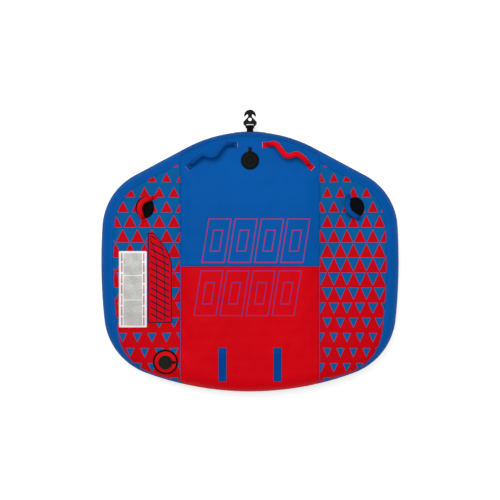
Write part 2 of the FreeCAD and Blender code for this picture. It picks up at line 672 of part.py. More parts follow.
def make_bow_port(hull):
    """Wide inflation port on the bow: socket, flap membrane, lid with its tab, and the tab's anchor."""
    make_socket("port_socket", "0", PORT_Y, "bow_port_socket")
    floor = "hull_height - socket_depth"
    keep(cylinder("port_membrane", "socket_inner_radius", floor, f"{floor} + membrane_wall", "0", PORT_Y),
         "bow_port_membrane")
    under_lid = f"{RIM_TOP} + fit_gap"
    hinge_y = f"{PORT_Y} + lid_hinge_reach"
    plug_radius = "socket_inner_radius - lid_plug_gap"
    lid = revolve("lid_disc", [
        ("0", f"{RIM_TOP} - lid_plug_depth"), (plug_radius, f"{RIM_TOP} - lid_plug_depth"),
        (plug_radius, under_lid), ("lid_radius - lid_edge_wall", under_lid),
        ("lid_radius", f"{under_lid} + lid_edge_wall"),
        ("lid_radius - lid_crown_inset", f"{under_lid} + lid_wall"), ("0", f"{under_lid} + lid_wall"),
    ], "0", PORT_Y)
    tab = box("lid_tab", ("-lid_tab_width / 2", "lid_tab_width / 2"),
              (f"{PORT_Y} + lid_radius - lid_tab_root", hinge_y), (under_lid, f"{under_lid} + lid_tab_wall"))
    knuckle = crossbar("lid_tab_end", "lid_tab_wall / 2", "lid_tab_width / 2", hinge_y,
                       f"{under_lid} + lid_tab_wall / 2")
    keep(fuse("lid_whole", lid, tab, knuckle), "bow_port_lid")
    anchor = box("lid_anchor", ("-lid_tab_width / 2", "lid_tab_width / 2"),
                 (f"{hinge_y} - anchor_overlap", f"{hinge_y} - anchor_overlap + anchor_length"),
                 ("hull_height - foot_sink", "hull_height + trim_wall"))
    keep(cut("lid_anchor_on_deck", anchor, hull), "bow_port_anchor")


def make_rear_valve():
    """Screw valve in the collared window: socket, turning cap and the tether ring round its waist."""
    make_socket("valve_socket", VALVE_X, VALVE_Y, "rear_valve_socket")
    seat = f"{RIM_TOP} + fit_gap"
    head = f"{seat} + cap_waist_height"
    plug_radius = "socket_inner_radius - fit_gap"
    top = f"{head} + cap_head_height"
    keep(revolve("valve_cap", [
        ("0", f"{seat} - cap_plug_depth"), (plug_radius, f"{seat} - cap_plug_depth"), (plug_radius, seat),
        ("cap_waist_radius", seat), ("cap_waist_radius", head), ("cap_radius - cap_low_edge", head),
        ("cap_radius", f"{head} + cap_low_edge"), ("cap_radius", f"{top} - cap_high_edge"),
        ("cap_radius - cap_high_edge", top), ("0", top),
    ], VALVE_X, VALVE_Y), "rear_valve_cap")
    low = f"{seat} + fit_gap"
    high = f"{head} - fit_gap"
    outer = "cap_waist_radius + fit_gap + ring_wall"
    ring = cylinder("tether_ring_outer", outer, low, high, VALVE_X, VALVE_Y)
    tail = box("tether_tail", (f"{VALVE_X} + {outer} - tether_root", f"{VALVE_X} + {outer} + tether_length"),
               (f"{VALVE_Y} - tether_width / 2", f"{VALVE_Y} + tether_width / 2"),
               (low, f"{low} + tether_wall"))
    bore = cylinder("tether_ring_bore", "cap_waist_radius + fit_gap", "0", ABOVE, VALVE_X, VALVE_Y)
    keep(cut("tether_ring", fuse("tether_whole", ring, tail), bore), "rear_valve_tether")


# ---------------------------------------------------------------- zip and drains on the tail

TAIL_CENTRE = "tail_radius - tail_reach"


def tail_strip(title, inner, outer, x_range, z_range):
    """Strip that follows the tail arc, between two distances outside it."""
    low, high = z_range
    outside = cylinder(f"{title}_outer", f"tail_radius + {outer}", low, high, "0", TAIL_CENTRE)
    inside = cylinder(f"{title}_inner", f"tail_radius + {inner}", low, high, "0", TAIL_CENTRE)
    zone = box(f"{title}_zone", x_range, (f"-( {OUTSIDE} )", "-tail_reach / 2"), (low, high))
    return common(title, cut(f"{title}_ring", outside, inside), zone)


def at_tail(thing, x, z, outside):
    """Place an object drawn along -Y where the tail arc is at X = x, some distance outside the arc."""
    angle = math.asin(x / amount_of("tail_radius"))
    reach = amount_of("tail_radius") + outside
    spot = Vector(reach * math.sin(angle), amount_of(TAIL_CENTRE) - reach * math.cos(angle), z)
    thing.Placement = Placement(spot, Rotation(Vector(0, 0, 1), math.degrees(angle)))
    return thing


def centred_box(title, length, depth, height, raised="0"):
    """Block centred in X on its own origin and raised above it, reaching outwards along -Y."""
    blank = new_body(title)
    sketch = new_sketch(blank, f"{title}_face", "XZ_Plane")
    left, right = f"-( {length} ) / 2", f"( {length} ) / 2"
    low, high = f"-( {height} ) / 2 + {raised}", f"( {height} ) / 2 + {raised}"
    polygon(sketch, [(left, low), (right, low), (right, high), (left, high)])
    pad(blank, f"{title}_block", sketch, depth)
    return blank


def make_zip():
    """Zip along the tail: tape, coil, stops, slider and its puller."""
    middle = "join_height"
    whole = ("-zip_half_length", "zip_half_length")
    tape_z = (f"{middle} - zip_tape_height / 2", f"{middle} + zip_tape_height / 2")
    coil_z = (f"{middle} - coil_height / 2", f"{middle} + coil_height / 2")
    face = "zip_tape_wall"
    crest = "zip_tape_wall + coil_wall"
    tape = ("-zip_half_length - zip_tape_end", "zip_half_length + zip_tape_end")
    keep(tail_strip("zip_tape_strip", "0", face, tape, tape_z), "zip_tape")
    coil = ("-zip_half_length + zip_stop_length", "zip_half_length - zip_stop_length")
    keep(tail_strip("zip_coil_strip", face, crest, coil, coil_z), "zip_coil")
    keep(tail_strip("zip_stop_left_strip", face, crest, (whole[0], coil[0]), coil_z), "zip_stop_left")
    keep(tail_strip("zip_stop_right_strip", face, crest, (coil[1], whole[1]), coil_z), "zip_stop_right")
    slider = centred_box("slider_block", "slider_length", "slider_wall", "slider_height")
    x = amount_of("zip_half_length - slider_end_gap")
    outside = amount_of(f"{crest} + fit_gap")
    height = amount_of(middle)
    keep(at_tail(slider, x, height, outside), "zip_slider")
    puller = centred_box("puller_leaf", "puller_width", "puller_wall", "puller_length", "-puller_length / 2")
    outside = amount_of(f"{crest} + 2 * fit_gap + slider_wall")
    keep(at_tail(puller, x, height + amount_of("slider_height / 4"), outside), "zip_puller")


def eyelet_core(title, sign, radius, length):
    """Cylinder through the tail wall at a drain, along the tail arc's own normal."""
    core = DOC.addObject("Part::Cylinder", title)
    bind(core, "Radius", radius)
    bind(core, "Height", length)
    x = sign * amount_of("eyelet_x")
    reach = amount_of(f"( {length} ) / 2")
    at_tail(core, x, amount_of("eyelet_height"), reach)
    inwards = Rotation(Vector(1, 0, 0), -90)
    core.Placement = Placement(core.Placement.Base, core.Placement.Rotation.multiply(inwards))
    return core


def make_eyelets():
    """Drain eyelets: a flanged ring through the tail wall on each side."""
    for side, sign in (("left", -1), ("right", 1)):
        body = new_body(f"eyelet_{side}")
        sketch = new_sketch(body, f"eyelet_{side}_profile", "XZ_Plane")
        polygon(sketch, [
            ("eyelet_bore", "-cover_wall"), ("eyelet_bore + eyelet_sleeve", "-cover_wall"),
            ("eyelet_bore + eyelet_sleeve", "eyelet_lift"), ("eyelet_radius", "eyelet_lift"),
            ("eyelet_radius", "eyelet_lift + eyelet_wall"), ("eyelet_bore", "eyelet_lift + eyelet_wall"),
        ])
        feature = body.newObject("PartDesign::Revolution", f"eyelet_{side}_turn")
        feature.Profile = sketch
        feature.ReferenceAxis = (sketch, ["V_Axis"])
        feature.Angle = 360
        at_tail(body, sign * amount_of("eyelet_x"), amount_of("eyelet_height"), 0)
        outwards = Rotation(Vector(1, 0, 0), 90)
        body.Placement = Placement(body.Placement.Base, body.Placement.Rotation.multiply(outwards))
        keep(body, f"drain_eyelet_{side}")


# ---------------------------------------------------------------- the whole tube

def build():
    """Draw every sub-part."""
    wall = "cover_wall"
    bladder = "cover_wall + bladder_gap"
    shells = {
        "trim": hull_solid("trim_outside", "-trim_wall"),
        "hull": hull_solid("hull_outside", "0"),
        "cover_inside": hull_solid("cover_inside", wall),
        "bladder_outside": hull_solid("bladder_outside", bladder),
        "bladder_inside": hull_solid("bladder_inside", f"{bladder} + bladder_wall"),
    }
    make_bladder(shells)
    make_cover(shells)
    make_trim(shells)
    make_tow_patch()
    make_tow_strap()
    make_tow_connector()
    make_handles(shells["hull"])
    make_bow_port(shells["hull"])
    make_rear_valve()
    make_zip()
    make_eyelets()
    DOC.recompute()


def check_and_export():
    """Stop on any failed object, then write one STEP file per sub-part."""
    for thing in DOC.Objects:
        if "Invalid" in thing.State or "Error" in thing.State:
            raise RuntimeError(f"{thing.Label} did not compute: {thing.State}")
    for node in NODES:
        if node.Shape.isNull() or not node.Shape.isValid() or not node.Shape.Solids:
            raise RuntimeError(f"{node.Label} has no valid solid")
    os.makedirs("parts", exist_ok=True)
    for node in NODES:
        node.Shape.exportStep(os.path.join("parts", f"{node.Label}.step"))
        low, high = node.Shape.BoundBox.getPoint(0), node.Shape.BoundBox.getPoint(6)
        print(f"{node.Label}: {node.Shape.Volume / 1000:.1f} cm3, {len(node.Shape.Solids)} solid, "
              f"X {low.x:.0f}..{high.x:.0f}")


build()
check_and_export()
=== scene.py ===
"""Looks of the towable tube: a sewn cover over an air bladder, its handles, valves, tow point and zip.

Frame: +X to the tube's right, +Y towards its nose, +Z up, in metres.
"""
import json
import math

import bmesh
import bpy
import numpy as np
from mathutils import Matrix, Vector


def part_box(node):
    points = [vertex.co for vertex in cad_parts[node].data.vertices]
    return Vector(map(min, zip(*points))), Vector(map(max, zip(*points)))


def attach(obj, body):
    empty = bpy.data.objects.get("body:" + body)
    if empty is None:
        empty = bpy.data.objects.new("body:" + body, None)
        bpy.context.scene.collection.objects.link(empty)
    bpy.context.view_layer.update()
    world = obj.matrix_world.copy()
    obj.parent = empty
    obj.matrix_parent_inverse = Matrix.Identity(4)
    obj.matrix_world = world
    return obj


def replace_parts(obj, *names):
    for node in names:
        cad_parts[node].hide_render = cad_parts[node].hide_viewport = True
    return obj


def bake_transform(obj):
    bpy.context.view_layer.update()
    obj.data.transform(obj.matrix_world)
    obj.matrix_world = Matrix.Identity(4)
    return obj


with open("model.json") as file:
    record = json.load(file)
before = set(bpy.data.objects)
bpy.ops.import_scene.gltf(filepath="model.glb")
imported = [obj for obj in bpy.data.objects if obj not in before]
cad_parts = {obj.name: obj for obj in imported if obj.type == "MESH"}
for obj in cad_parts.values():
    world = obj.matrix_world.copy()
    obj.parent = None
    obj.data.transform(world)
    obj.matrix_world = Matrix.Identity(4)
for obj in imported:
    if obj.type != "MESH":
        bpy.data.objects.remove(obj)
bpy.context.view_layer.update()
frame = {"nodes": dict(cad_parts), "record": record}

# ---------------------------------------------------------------- sizes of the hull, read from the frame

UNDER_LOW, UNDER_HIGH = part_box("bottom_panel")
HALF_WIDTH = UNDER_HIGH.x
TAIL = -UNDER_LOW.y
NOSE = round(UNDER_HIGH.y, 3)
JOIN = UNDER_HIGH.z                                 # height of the seam between deck and underside
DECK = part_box("wing_panel_left")[1].z
RISE = DECK - JOIN
CENTRE_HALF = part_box("deck_panel_front")[1].x       # half width of the centre panels
SPLIT_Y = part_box("deck_panel_front")[0].y           # where the blue front meets the red rear
NOSE_SEAM = 0.040                                   # how far the nose seam is inside the outline
ROLL = 0.110                                        # width of the rounded rim, seen from above
POWER = 2.6                                         # squareness of the rim
CLOTH = 0.0015                                      # thickness of the cover's cloth

# Radii of the outline's arcs from nose to tail; NOSE_HALF is where the nose arc ends.
NOSE_RADIUS, NOSE_HALF, SHOULDER, SIDE, CORNER, TAIL_RADIUS = 0.773, 0.364, 0.353, 3.170, 0.368, 1.700
BAFFLE_X = (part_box("baffle_inner_right")[0].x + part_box("baffle_inner_right")[1].x) / 2
RNG = np.random.default_rng(11)


def ease(amount):
    """Smooth step from 0 to 1."""
    amount = np.clip(amount, 0, 1)
    return amount * amount * (3 - 2 * amount)


# ---------------------------------------------------------------- outline from above

class Outline:
    """Tangent arcs of the hull seen from above, moved inwards by its own margin at side, nose and tail."""

    def __init__(self, side=0.0, nose=0.0, tail=0.0):
        radius = NOSE_RADIUS - nose
        slope = math.asin(NOSE_HALF / NOSE_RADIUS)
        nose_y = NOSE - nose - radius
        inward = np.array([-math.sin(slope), -math.cos(slope)])
        flank = np.array([math.cos(slope), -math.sin(slope)])
        top = np.array([0, nose_y]) - inward * radius
        shoulder, corner = SHOULDER - nose, CORNER - side
        side_radius, tail_radius = SIDE - side, TAIL_RADIUS - tail
        side_x = HALF_WIDTH - side - side_radius
        start = top + inward * shoulder - np.array([side_x, 0])
        middle = start @ flank
        step = -middle + math.sqrt(middle ** 2 - start @ start + (side_radius - shoulder) ** 2)
        shoulder_at = np.array([side_x, 0]) + start + flank * step
        foot = shoulder_at - inward * shoulder
        tail_y = tail_radius - (TAIL - tail)
        # The corner's centre is where two circles about the side and tail centres cross.
        far_side, far_tail = side_radius - corner, tail_radius - corner
        span = np.array([-side_x, tail_y])
        distance = math.hypot(*span)
        along = (distance ** 2 + far_side ** 2 - far_tail ** 2) / (2 * distance)
        aside = math.sqrt(far_side ** 2 - along ** 2)
        unit = span / distance
        crossings = [np.array([side_x, 0]) + unit * along + np.array([-unit[1], unit[0]]) * aside * sign
                     for sign in (1, -1)]
        corner_at = min(crossings, key=lambda point: point[1])
        half = math.pi / 2
        to_shoulder = math.atan2(shoulder_at[1], shoulder_at[0] - side_x)
        to_corner = math.atan2(corner_at[1], corner_at[0] - side_x)
        to_tail = math.atan2(corner_at[1] - tail_y, corner_at[0])
        self.arcs = [
            (0.0, nose_y, radius, half, half - slope),
            (*shoulder_at, shoulder, half - slope, to_shoulder),
            (side_x, 0.0, side_radius, to_shoulder, to_corner),
            (*corner_at, corner, to_corner, to_tail),
            (0.0, tail_y, tail_radius, to_tail, -half),
        ]
        self.flank = (top, foot, -inward)
        self._trace()

    def _trace(self):
        """Points and outward directions from the middle of the nose, round the right side, to the tail."""
        points, normals = [], []
        for number, (cx, cy, radius, first, last) in enumerate(self.arcs):
            angle = np.linspace(first, last, 900)
            direction = np.stack([np.cos(angle), np.sin(angle)], 1)
            points.append(np.array([cx, cy]) + direction * radius)
            normals.append(direction)
            if number == 0:
                share = np.linspace(0, 1, 200)[1:-1, None]
                points.append(self.flank[0] * (1 - share) + self.flank[1] * share)
                normals.append(np.repeat(self.flank[2][None], len(share), 0))
        self.points = np.concatenate(points)
        self.normals = np.concatenate(normals)
        steps = np.hypot(*np.diff(self.points, axis=0).T)
        self.run = np.concatenate([[0], np.cumsum(steps)])
        self.length = self.run[-1]

    def at(self, run, margin=0.0):
        """Point on the right half, a distance along it, moved inwards by a margin."""
        px, py = (np.interp(run, self.run, self.points[:, i]) for i in (0, 1))
        nx, ny = (np.interp(run, self.run, self.normals[:, i]) for i in (0, 1))
        return px - nx * margin, py - ny * margin

    def crossing(self, across, margin, at_tail):
        """Distance along the right half where it passes X = across."""
        inner = self.points - self.normals * margin
        widest = int(np.argmax(inner[:, 0]))
        if at_tail:
            return float(np.interp(across, inner[widest:, 0][::-1], self.run[widest:][::-1]))
        return float(np.interp(across, inner[:widest, 0], self.run[:widest]))

    def margin(self, x, y):
        """How far a point is inside the outline, and the direction straight out from there."""
        ax, y = np.broadcast_arrays(np.abs(np.asarray(x, float)), np.asarray(y, float))
        best = np.full(ax.shape, 9.0)
        out_x, out_y = np.zeros(ax.shape), np.ones(ax.shape)

        def offer(value, nx, ny, allowed):
            better = allowed & (value < best)
            best[better] = value[better]
            out_x[better] = np.broadcast_to(nx, ax.shape)[better]
            out_y[better] = np.broadcast_to(ny, ax.shape)[better]

        for cx, cy, radius, first, last in self.arcs:
            dx, dy = ax - cx, y - cy
            reach = np.hypot(dx, dy) + 1e-12
            angle = np.arctan2(dy, dx)
            offer(radius - reach, dx / reach, dy / reach, (angle <= first + 1e-6) & (angle >= last - 1e-6))
        top, foot, normal = self.flank
        run = (ax - top[0]) * (foot - top)[0] + (y - top[1]) * (foot - top)[1]
        run = run / ((foot - top) @ (foot - top))
        depth = (top[0] - ax) * normal[0] + (top[1] - y) * normal[1]
        offer(depth, normal[0], normal[1], (run >= 0) & (run <= 1))
        return best, out_x * np.sign(np.asarray(x, float) + 1e-15), out_y


HULL = Outline()
WING = Outline(side=0.088, nose=0.074, tail=0.017)
MARGINS = np.linspace(0, 0.2, 81)
NOSE_END = [HULL.crossing(CENTRE_HALF, margin, False) for margin in MARGINS]
TAIL_END = [HULL.crossing(CENTRE_HALF, margin, True) for margin in MARGINS]


def strip(zone, share, margin):
    """Point of the rim: share runs -1 to 1 from left to right at nose and tail, and 0 to 1 down the side."""
    share, margin = np.broadcast_arrays(np.asarray(share, float), np.asarray(margin, float))
    nose_end, tail_end = np.interp(margin, MARGINS, NOSE_END), np.interp(margin, MARGINS, TAIL_END)
    if zone == "nose":
        run = np.abs(share) * nose_end
    elif zone == "tail":
        run = HULL.length - np.abs(share) * (HULL.length - tail_end)
    else:
        run = nose_end + share * (tail_end - nose_end)
    x, y = HULL.at(run, margin)
    return (x if zone == "side" else x * np.sign(share + 1e-15)), y


def rim_margins(start, count):
    """Margins down the rounded rim, from a start margin to the outline, evenly spread over its curve."""
    first = math.asin(((ROLL - start) / ROLL) ** (POWER / 2)) if start < ROLL else 0.0
    turn = np.linspace(first, math.pi / 2, count)
    return ROLL * (1 - np.sin(turn) ** (2 / POWER))


# ---------------------------------------------------------------- surface of the cover

def middle_of(node):
    """Middle of a CAD node's box."""
    low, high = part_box(node)
    return (low + high) / 2


FEET = [f"{side}_{hand}_foot_{end}" for side in ("bow", "side") for hand in ("left", "right")
        for end in ("front", "rear")]
CALM = [(middle_of(node), 0.030) for node in FEET]
CALM += [(middle_of(node), 0.052) for node in ("knuckle_pad_left", "knuckle_pad_right")]
CALM += [(middle_of("bow_port_socket"), 0.072), (middle_of("rear_valve_collar"), 0.074)]
CALM += [(middle_of("bow_port_anchor"), 0.030)]
WAVES = [(2 * math.pi / length * math.cos(turn), 2 * math.pi / length * math.sin(turn), phase)
         for length, turn, phase in zip(RNG.uniform(0.06, 0.22, 14), RNG.uniform(0, math.pi, 14),
                                        RNG.uniform(0, 2 * math.pi, 14))]


SEAM_VALLEY, SEAM_VALLEY_WIDTH = 0.012, 0.034
BAFFLE_VALLEY, BAFFLE_VALLEY_WIDTH = 0.0048, 0.030
CROWN_RISE = 0.003
PINCH, PINCH_WIDTH = 0.0032, 0.0075
PUCKER, PUCKER_PITCH = 0.0014, 0.019
SWELL = 0.0019


def creases(x, y):
    """Gentle uneven swell of inflated cloth, about -1 to 1."""
    return sum(np.sin(kx * x + ky * y + phase) for kx, ky, phase in WAVES) / 5


def relief(x, y, margin):
    """How far the cover stands off its even shape: baffle valleys, seam pinch, puckers and creases."""
    ax = np.abs(x)
    middle = ax < CENTRE_HALF
    wing = np.abs(WING.margin(x, y)[0])
    nose = np.where(y > 0, np.abs(margin - NOSE_SEAM), 1)
    seam = np.minimum(np.abs(ax - CENTRE_HALF), np.where(middle, nose, wing))
    seam = np.minimum(seam, np.where(middle, np.abs(y - SPLIT_Y), 1))
    inside = ease((margin - 0.03) / 0.10)
    span = ease((y + 0.58) / 0.12) * ease((0.53 - y) / 0.12) * inside
    valley = SEAM_VALLEY * np.exp(-((ax - CENTRE_HALF) / SEAM_VALLEY_WIDTH) ** 2 / 2)
    valley += BAFFLE_VALLEY * np.exp(-((ax - BAFFLE_X) / BAFFLE_VALLEY_WIDTH) ** 2 / 2)
    crown = CROWN_RISE * np.cos(np.clip(ax / CENTRE_HALF, 0, 1) * math.pi / 2)
    pinch = PINCH * np.exp(-(seam / PINCH_WIDTH) ** 2)
    gathers = PUCKER * np.sin(2 * math.pi * (x + y) / PUCKER_PITCH)
    pucker = gathers * np.exp(-seam / 0.016) * (1 - np.exp(-seam / 0.004))
    swell = SWELL * creases(x, y) * (0.5 + 0.5 * inside)
    height = (crown - valley) * span - pinch + pucker + swell
    for spot, radius in CALM:
        height = height * ease((np.hypot(x - spot.x, y - spot.y) - radius) / 0.045)
    return height * ease(margin / 0.022)


def skin(x, y, lift=0.0, under=False):
    """Point of the cover above or below (x, y), and the direction straight out of it."""
    x, y = np.broadcast_arrays(np.asarray(x, float), np.asarray(y, float))
    margin, out_x, out_y = HULL.margin(x, y)
    margin = np.maximum(margin, 0)
    share = np.clip((ROLL - margin) / ROLL, 0, 1)
    up = (1 - share ** POWER) ** (1 / POWER)
    lean_out, lean_up = share ** (POWER - 1) / ROLL, up ** (POWER - 1) / RISE
    size = np.hypot(lean_out, lean_up)
    lean_out, lean_up = lean_out / size, lean_up / size
    off = relief(x, y, margin)
    if under:
        off = np.minimum(off, 0) - 0.0004 * ease(margin / 0.03)
    off = off + lift
    sign = -1 if under else 1
    normal = np.stack([out_x * lean_out, out_y * lean_out, lean_up * sign], -1)
    even = np.stack([x, y, JOIN + RISE * up * sign], -1)
    return even + normal * off[..., None], normal


# ---------------------------------------------------------------- meshes

def piece_from(name, points, faces, material, body="hull", smooth=True):
    """Mesh object riding on a body."""
    mesh = bpy.data.meshes.new(name)
    mesh.from_pydata([tuple(point) for point in np.asarray(points, float).reshape(-1, 3)], [], faces)
    mesh.update()
    obj = bpy.data.objects.new(name, mesh)
    bpy.context.collection.objects.link(obj)
    mesh.materials.append(material)
    mesh.polygons.foreach_set("use_smooth", [smooth] * len(mesh.polygons))
    if body:
        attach(obj, body)
    return obj


def grid_faces(rows, columns, closed=False):
    """Quads of a grid of points, closed across its columns or not."""
    faces = []
    for row in range(rows - 1):
        for column in range(columns if closed else columns - 1):
            ahead = (column + 1) % columns
            faces.append((row * columns + column, row * columns + ahead,
                          (row + 1) * columns + ahead, (row + 1) * columns + column))
    return faces


def turns(count):
    """Even angles once round."""
    return np.linspace(0, 2 * math.pi, count, endpoint=False)


def thicken(obj):
    """Give a sewn panel the cloth's own thickness, inwards."""
    wall = obj.modifiers.new("cloth", "SOLIDIFY")
    wall.thickness = CLOTH
    wall.offset = -1
    return obj


def panel(name, points, material, hole=None, under=False):
    """Sewn panel from a grid of points, with the cloth's own thickness inwards; hole is (centre, radius)."""
    rows, columns = points.shape[:2]
    flat = points.reshape(-1, 3)
    faces = grid_faces(rows, columns)
    if hole:
        near = np.hypot(flat[:, 0] - hole[0].x, flat[:, 1] - hole[0].y) < hole[1]
        faces = [face for face in faces if not any(near[i] for i in face)]
    a, b, c = (flat[faces[0][i]] for i in (0, 1, 2))
    if (np.cross(b - a, c - b)[2] < 0) != under:
        faces = [face[::-1] for face in faces]
    obj = piece_from(name, flat, faces, material)
    bm = bmesh.new()
    bm.from_mesh(obj.data)
    loose = [vert for vert in bm.verts if not vert.link_faces]
    bmesh.ops.delete(bm, geom=loose, context="VERTS")
    bm.to_mesh(obj.data)
    bm.free()
    return thicken(obj)


def closed_surface(name, grid, material, body="hull", smooth=True):
    """Closed form from rings of points: closed round each ring, with its two ends capped."""
    rows, columns = grid.shape[:2]
    faces = grid_faces(rows, columns, closed=True)
    faces.append(tuple(range(columns))[::-1])
    faces.append(tuple((rows - 1) * columns + i for i in range(columns)))
    obj = piece_from(name, grid, faces, material, None, smooth)
    weld(obj)
    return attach(obj, body) if body else obj


def looped(name, grid, material, body="hull"):
    """Form from a grid of points that closes on itself both ways: its last row is its first one."""
    obj = piece_from(name, grid, grid_faces(len(grid), len(grid[0]), closed=True), material, None)
    weld(obj)
    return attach(obj, body)


def slab(name, front, back, material):
    """Thin closed piece on the hull between a front and a back grid of points."""
    rows, columns = front.shape[:2]
    count = rows * columns
    faces = grid_faces(rows, columns)
    faces += [tuple(i + count for i in face[::-1]) for face in faces]
    border = list(range(columns)) + [row * columns + columns - 1 for row in range(1, rows)]
    border += [(rows - 1) * columns + i for i in range(columns - 2, -1, -1)]
    border += [row * columns for row in range(rows - 2, 0, -1)]
    faces += [(a, b, b + count, a + count) for a, b in zip(border, border[1:] + border[:1])]
    points = np.concatenate([front.reshape(-1, 3), back.reshape(-1, 3)])
    obj = piece_from(name, points, faces, material, None)
    weld(obj)
    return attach(obj, "hull")


def rounded(corners, radius, steps=5, closed=False):
    """Polyline with each corner turned into an arc, no larger than its two sides allow."""
    corners = [np.array(corner, float) for corner in corners]
    count = len(corners)
    result = []
    for i, corner in enumerate(corners):
        if not closed and i in (0, count - 1):
            result.append(corner)
            continue
        before, after = corners[i - 1] - corner, corners[(i + 1) % count] - corner
        size_b, size_a = np.linalg.norm(before), np.linalg.norm(after)
        before, after = before / size_b, after / size_a
        turn = math.acos(np.clip(before @ after, -1, 1))
        if turn > math.radians(175):
            result.append(corner)
            continue
        reach = min(radius / math.tan(turn / 2), 0.49 * size_a, 0.49 * size_b)
        first, last = corner + before * reach, corner + after * reach
        for share in np.linspace(0, 1, steps):
            result.append((1 - share) ** 2 * first + 2 * share * (1 - share) * corner + share ** 2 * last)
    return np.array(result)


def lathe(name, profile, centre, material, body="hull", sides=72, bevel=0.0008):
    """Turned form: profile is (radius, height) from the axis round to the axis again."""
    line = rounded(profile, bevel)
    angle = turns(sides)
    radius, height = np.maximum(line[:, :1], 1e-5), line[:, 1:]
    grid = np.stack([centre[0] + radius * np.cos(angle), centre[1] + radius * np.sin(angle),
                     centre[2] + height + 0 * angle], -1)
    return closed_surface(name, grid, material, body)


def ring(name, profile, centre, material, body="hull", sides=72, bevel=0.0006):
    """Turned ring: profile is a closed loop of (radius, height)."""
    line = rounded(profile, bevel, closed=True)
    angle = turns(sides)
    grid = np.stack([centre[0] + line[:, :1] * np.cos(angle), centre[1] + line[:, :1] * np.sin(angle),
                     centre[2] + line[:, 1:] + 0 * angle], -1)
    grid = grid.transpose(1, 0, 2)
    return looped(name, np.concatenate([grid, grid[:1]]), material, body)


def weld(obj):
    """Merge points that meet, and turn every face outwards."""
    bm = bmesh.new()
    bm.from_mesh(obj.data)
    bmesh.ops.remove_doubles(bm, verts=bm.verts, dist=1e-6)
    bmesh.ops.recalc_face_normals(bm, faces=bm.faces)
    bm.to_mesh(obj.data)
    bm.free()


def frames(path, up):
    """Forward, side and up directions along a path."""
    forward = np.gradient(path, axis=0)
    forward /= np.linalg.norm(forward, axis=1, keepdims=True)
    up = np.broadcast_to(np.asarray(up, float), path.shape)
    side = np.cross(forward, up)
    side /= np.linalg.norm(side, axis=1, keepdims=True)
    return forward, side, np.cross(side, forward)


def swept(name, path, section, up, material, body="hull", scale=None, smooth=True):
    """Section of (side, up) offsets carried along a path, closed at both ends; scale varies it on the way."""
    path = np.asarray(path, float)
    _, side, above = frames(path, up)
    section = np.asarray(section, float)
    scale = np.ones((len(path), 2)) if scale is None else np.asarray(scale, float)
    grid = (path[:, None] + side[:, None] * section[None, :, :1] * scale[:, None, :1]
            + above[:, None] * section[None, :, 1:] * scale[:, None, 1:])
    return closed_surface(name, grid, material, body, smooth)


def carried(path, side, above, section):
    """Grid of a section of (side, up) offsets carried along a path."""
    return path[:, None] + side[:, None] * section[None, :, :1] + above[:, None] * section[None, :, 1:]


def round_section(radius, sides=12):
    """Circle of points about the origin."""
    angle = turns(sides)
    return np.stack([np.cos(angle), np.sin(angle)], 1) * radius


def webbing_section(width, thickness, ribs=9):
    """Flat strap section with lengthwise ribs on both faces and rounded selvedges."""
    across = np.linspace(-1, 1, 6 * ribs + 1)
    edge = np.sqrt(np.clip(1 - np.abs(across) ** 10, 0, 1))
    height = thickness / 2 * edge * (1 - 0.12 * (0.5 - 0.5 * np.cos(across * math.pi * ribs)))
    top = np.stack([across * width / 2, height], 1)
    return np.concatenate([top, (top * [1, -1])[::-1][1:-1]])


def smooth_path(points, spacing):
    """Even points along a Catmull-Rom curve through a few points."""
    points = np.asarray(points, float)
    padded = np.concatenate([[2 * points[0] - points[1]], points, [2 * points[-1] - points[-2]]])
    run = []
    for i in range(len(points) - 1):
        a, b, c, d = padded[i:i + 4]
        share = np.linspace(0, 1, 24, endpoint=False)[:, None]
        run.append(0.5 * (2 * b + (c - a) * share + (2 * a - 5 * b + 4 * c - d) * share ** 2
                          + (3 * b - a - 3 * c + d) * share ** 3))
    run = np.concatenate([*run, points[-1:]])
    return even(run, spacing)


def even(path, spacing):
    """The same polyline with points a fixed distance apart."""
    length = np.concatenate([[0], np.cumsum(np.linalg.norm(np.diff(path, axis=0), axis=1))])
    count = max(int(round(length[-1] / spacing)), 2) + 1
    at = np.linspace(0, length[-1], count)
    return np.stack([np.interp(at, length, path[:, i]) for i in range(3)], 1)


def stitches(name, path, normal, material, body="hull", pitch=0.006, length=0.0042, radius=0.00055):
    """Row of thread stitches along a path: short rounded bars that dip into the cloth at both ends."""
    path = even(np.asarray(path, float), pitch)
    forward, side, up = frames(path, normal if np.ndim(normal) == 1 else even_like(normal, len(path)))
    turn = turns(6)
    stations = [(-0.5, 0.35, -0.9), (-0.3, 1, 0.25), (0.3, 1, 0.25), (0.5, 0.35, -0.9)]
    points, faces = [], []
    for spot, f, s, u in zip(path, forward, side, up):
        base = len(points)
        for along, thick, height in stations:
            centre = spot + f * along * length + u * height * radius
            points += [centre + (s * math.cos(a) + u * math.sin(a)) * radius * thick for a in turn]
        faces += [tuple(base + i for i in face) for face in grid_faces(4, 6, closed=True)]
        faces.append(tuple(base + i for i in range(6))[::-1])
        faces.append(tuple(base + 18 + i for i in range(6)))
    obj = piece_from(name, points, faces, material, None)
    weld(obj)
    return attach(obj, body) if body else obj


def even_like(normals, count):
    """Normals of a path, sampled again for another number of points."""
    normals = np.asarray(normals, float)
    at = np.linspace(0, len(normals) - 1, count)
    return np.stack([np.interp(at, np.arange(len(normals)), normals[:, i]) for i in range(3)], 1)


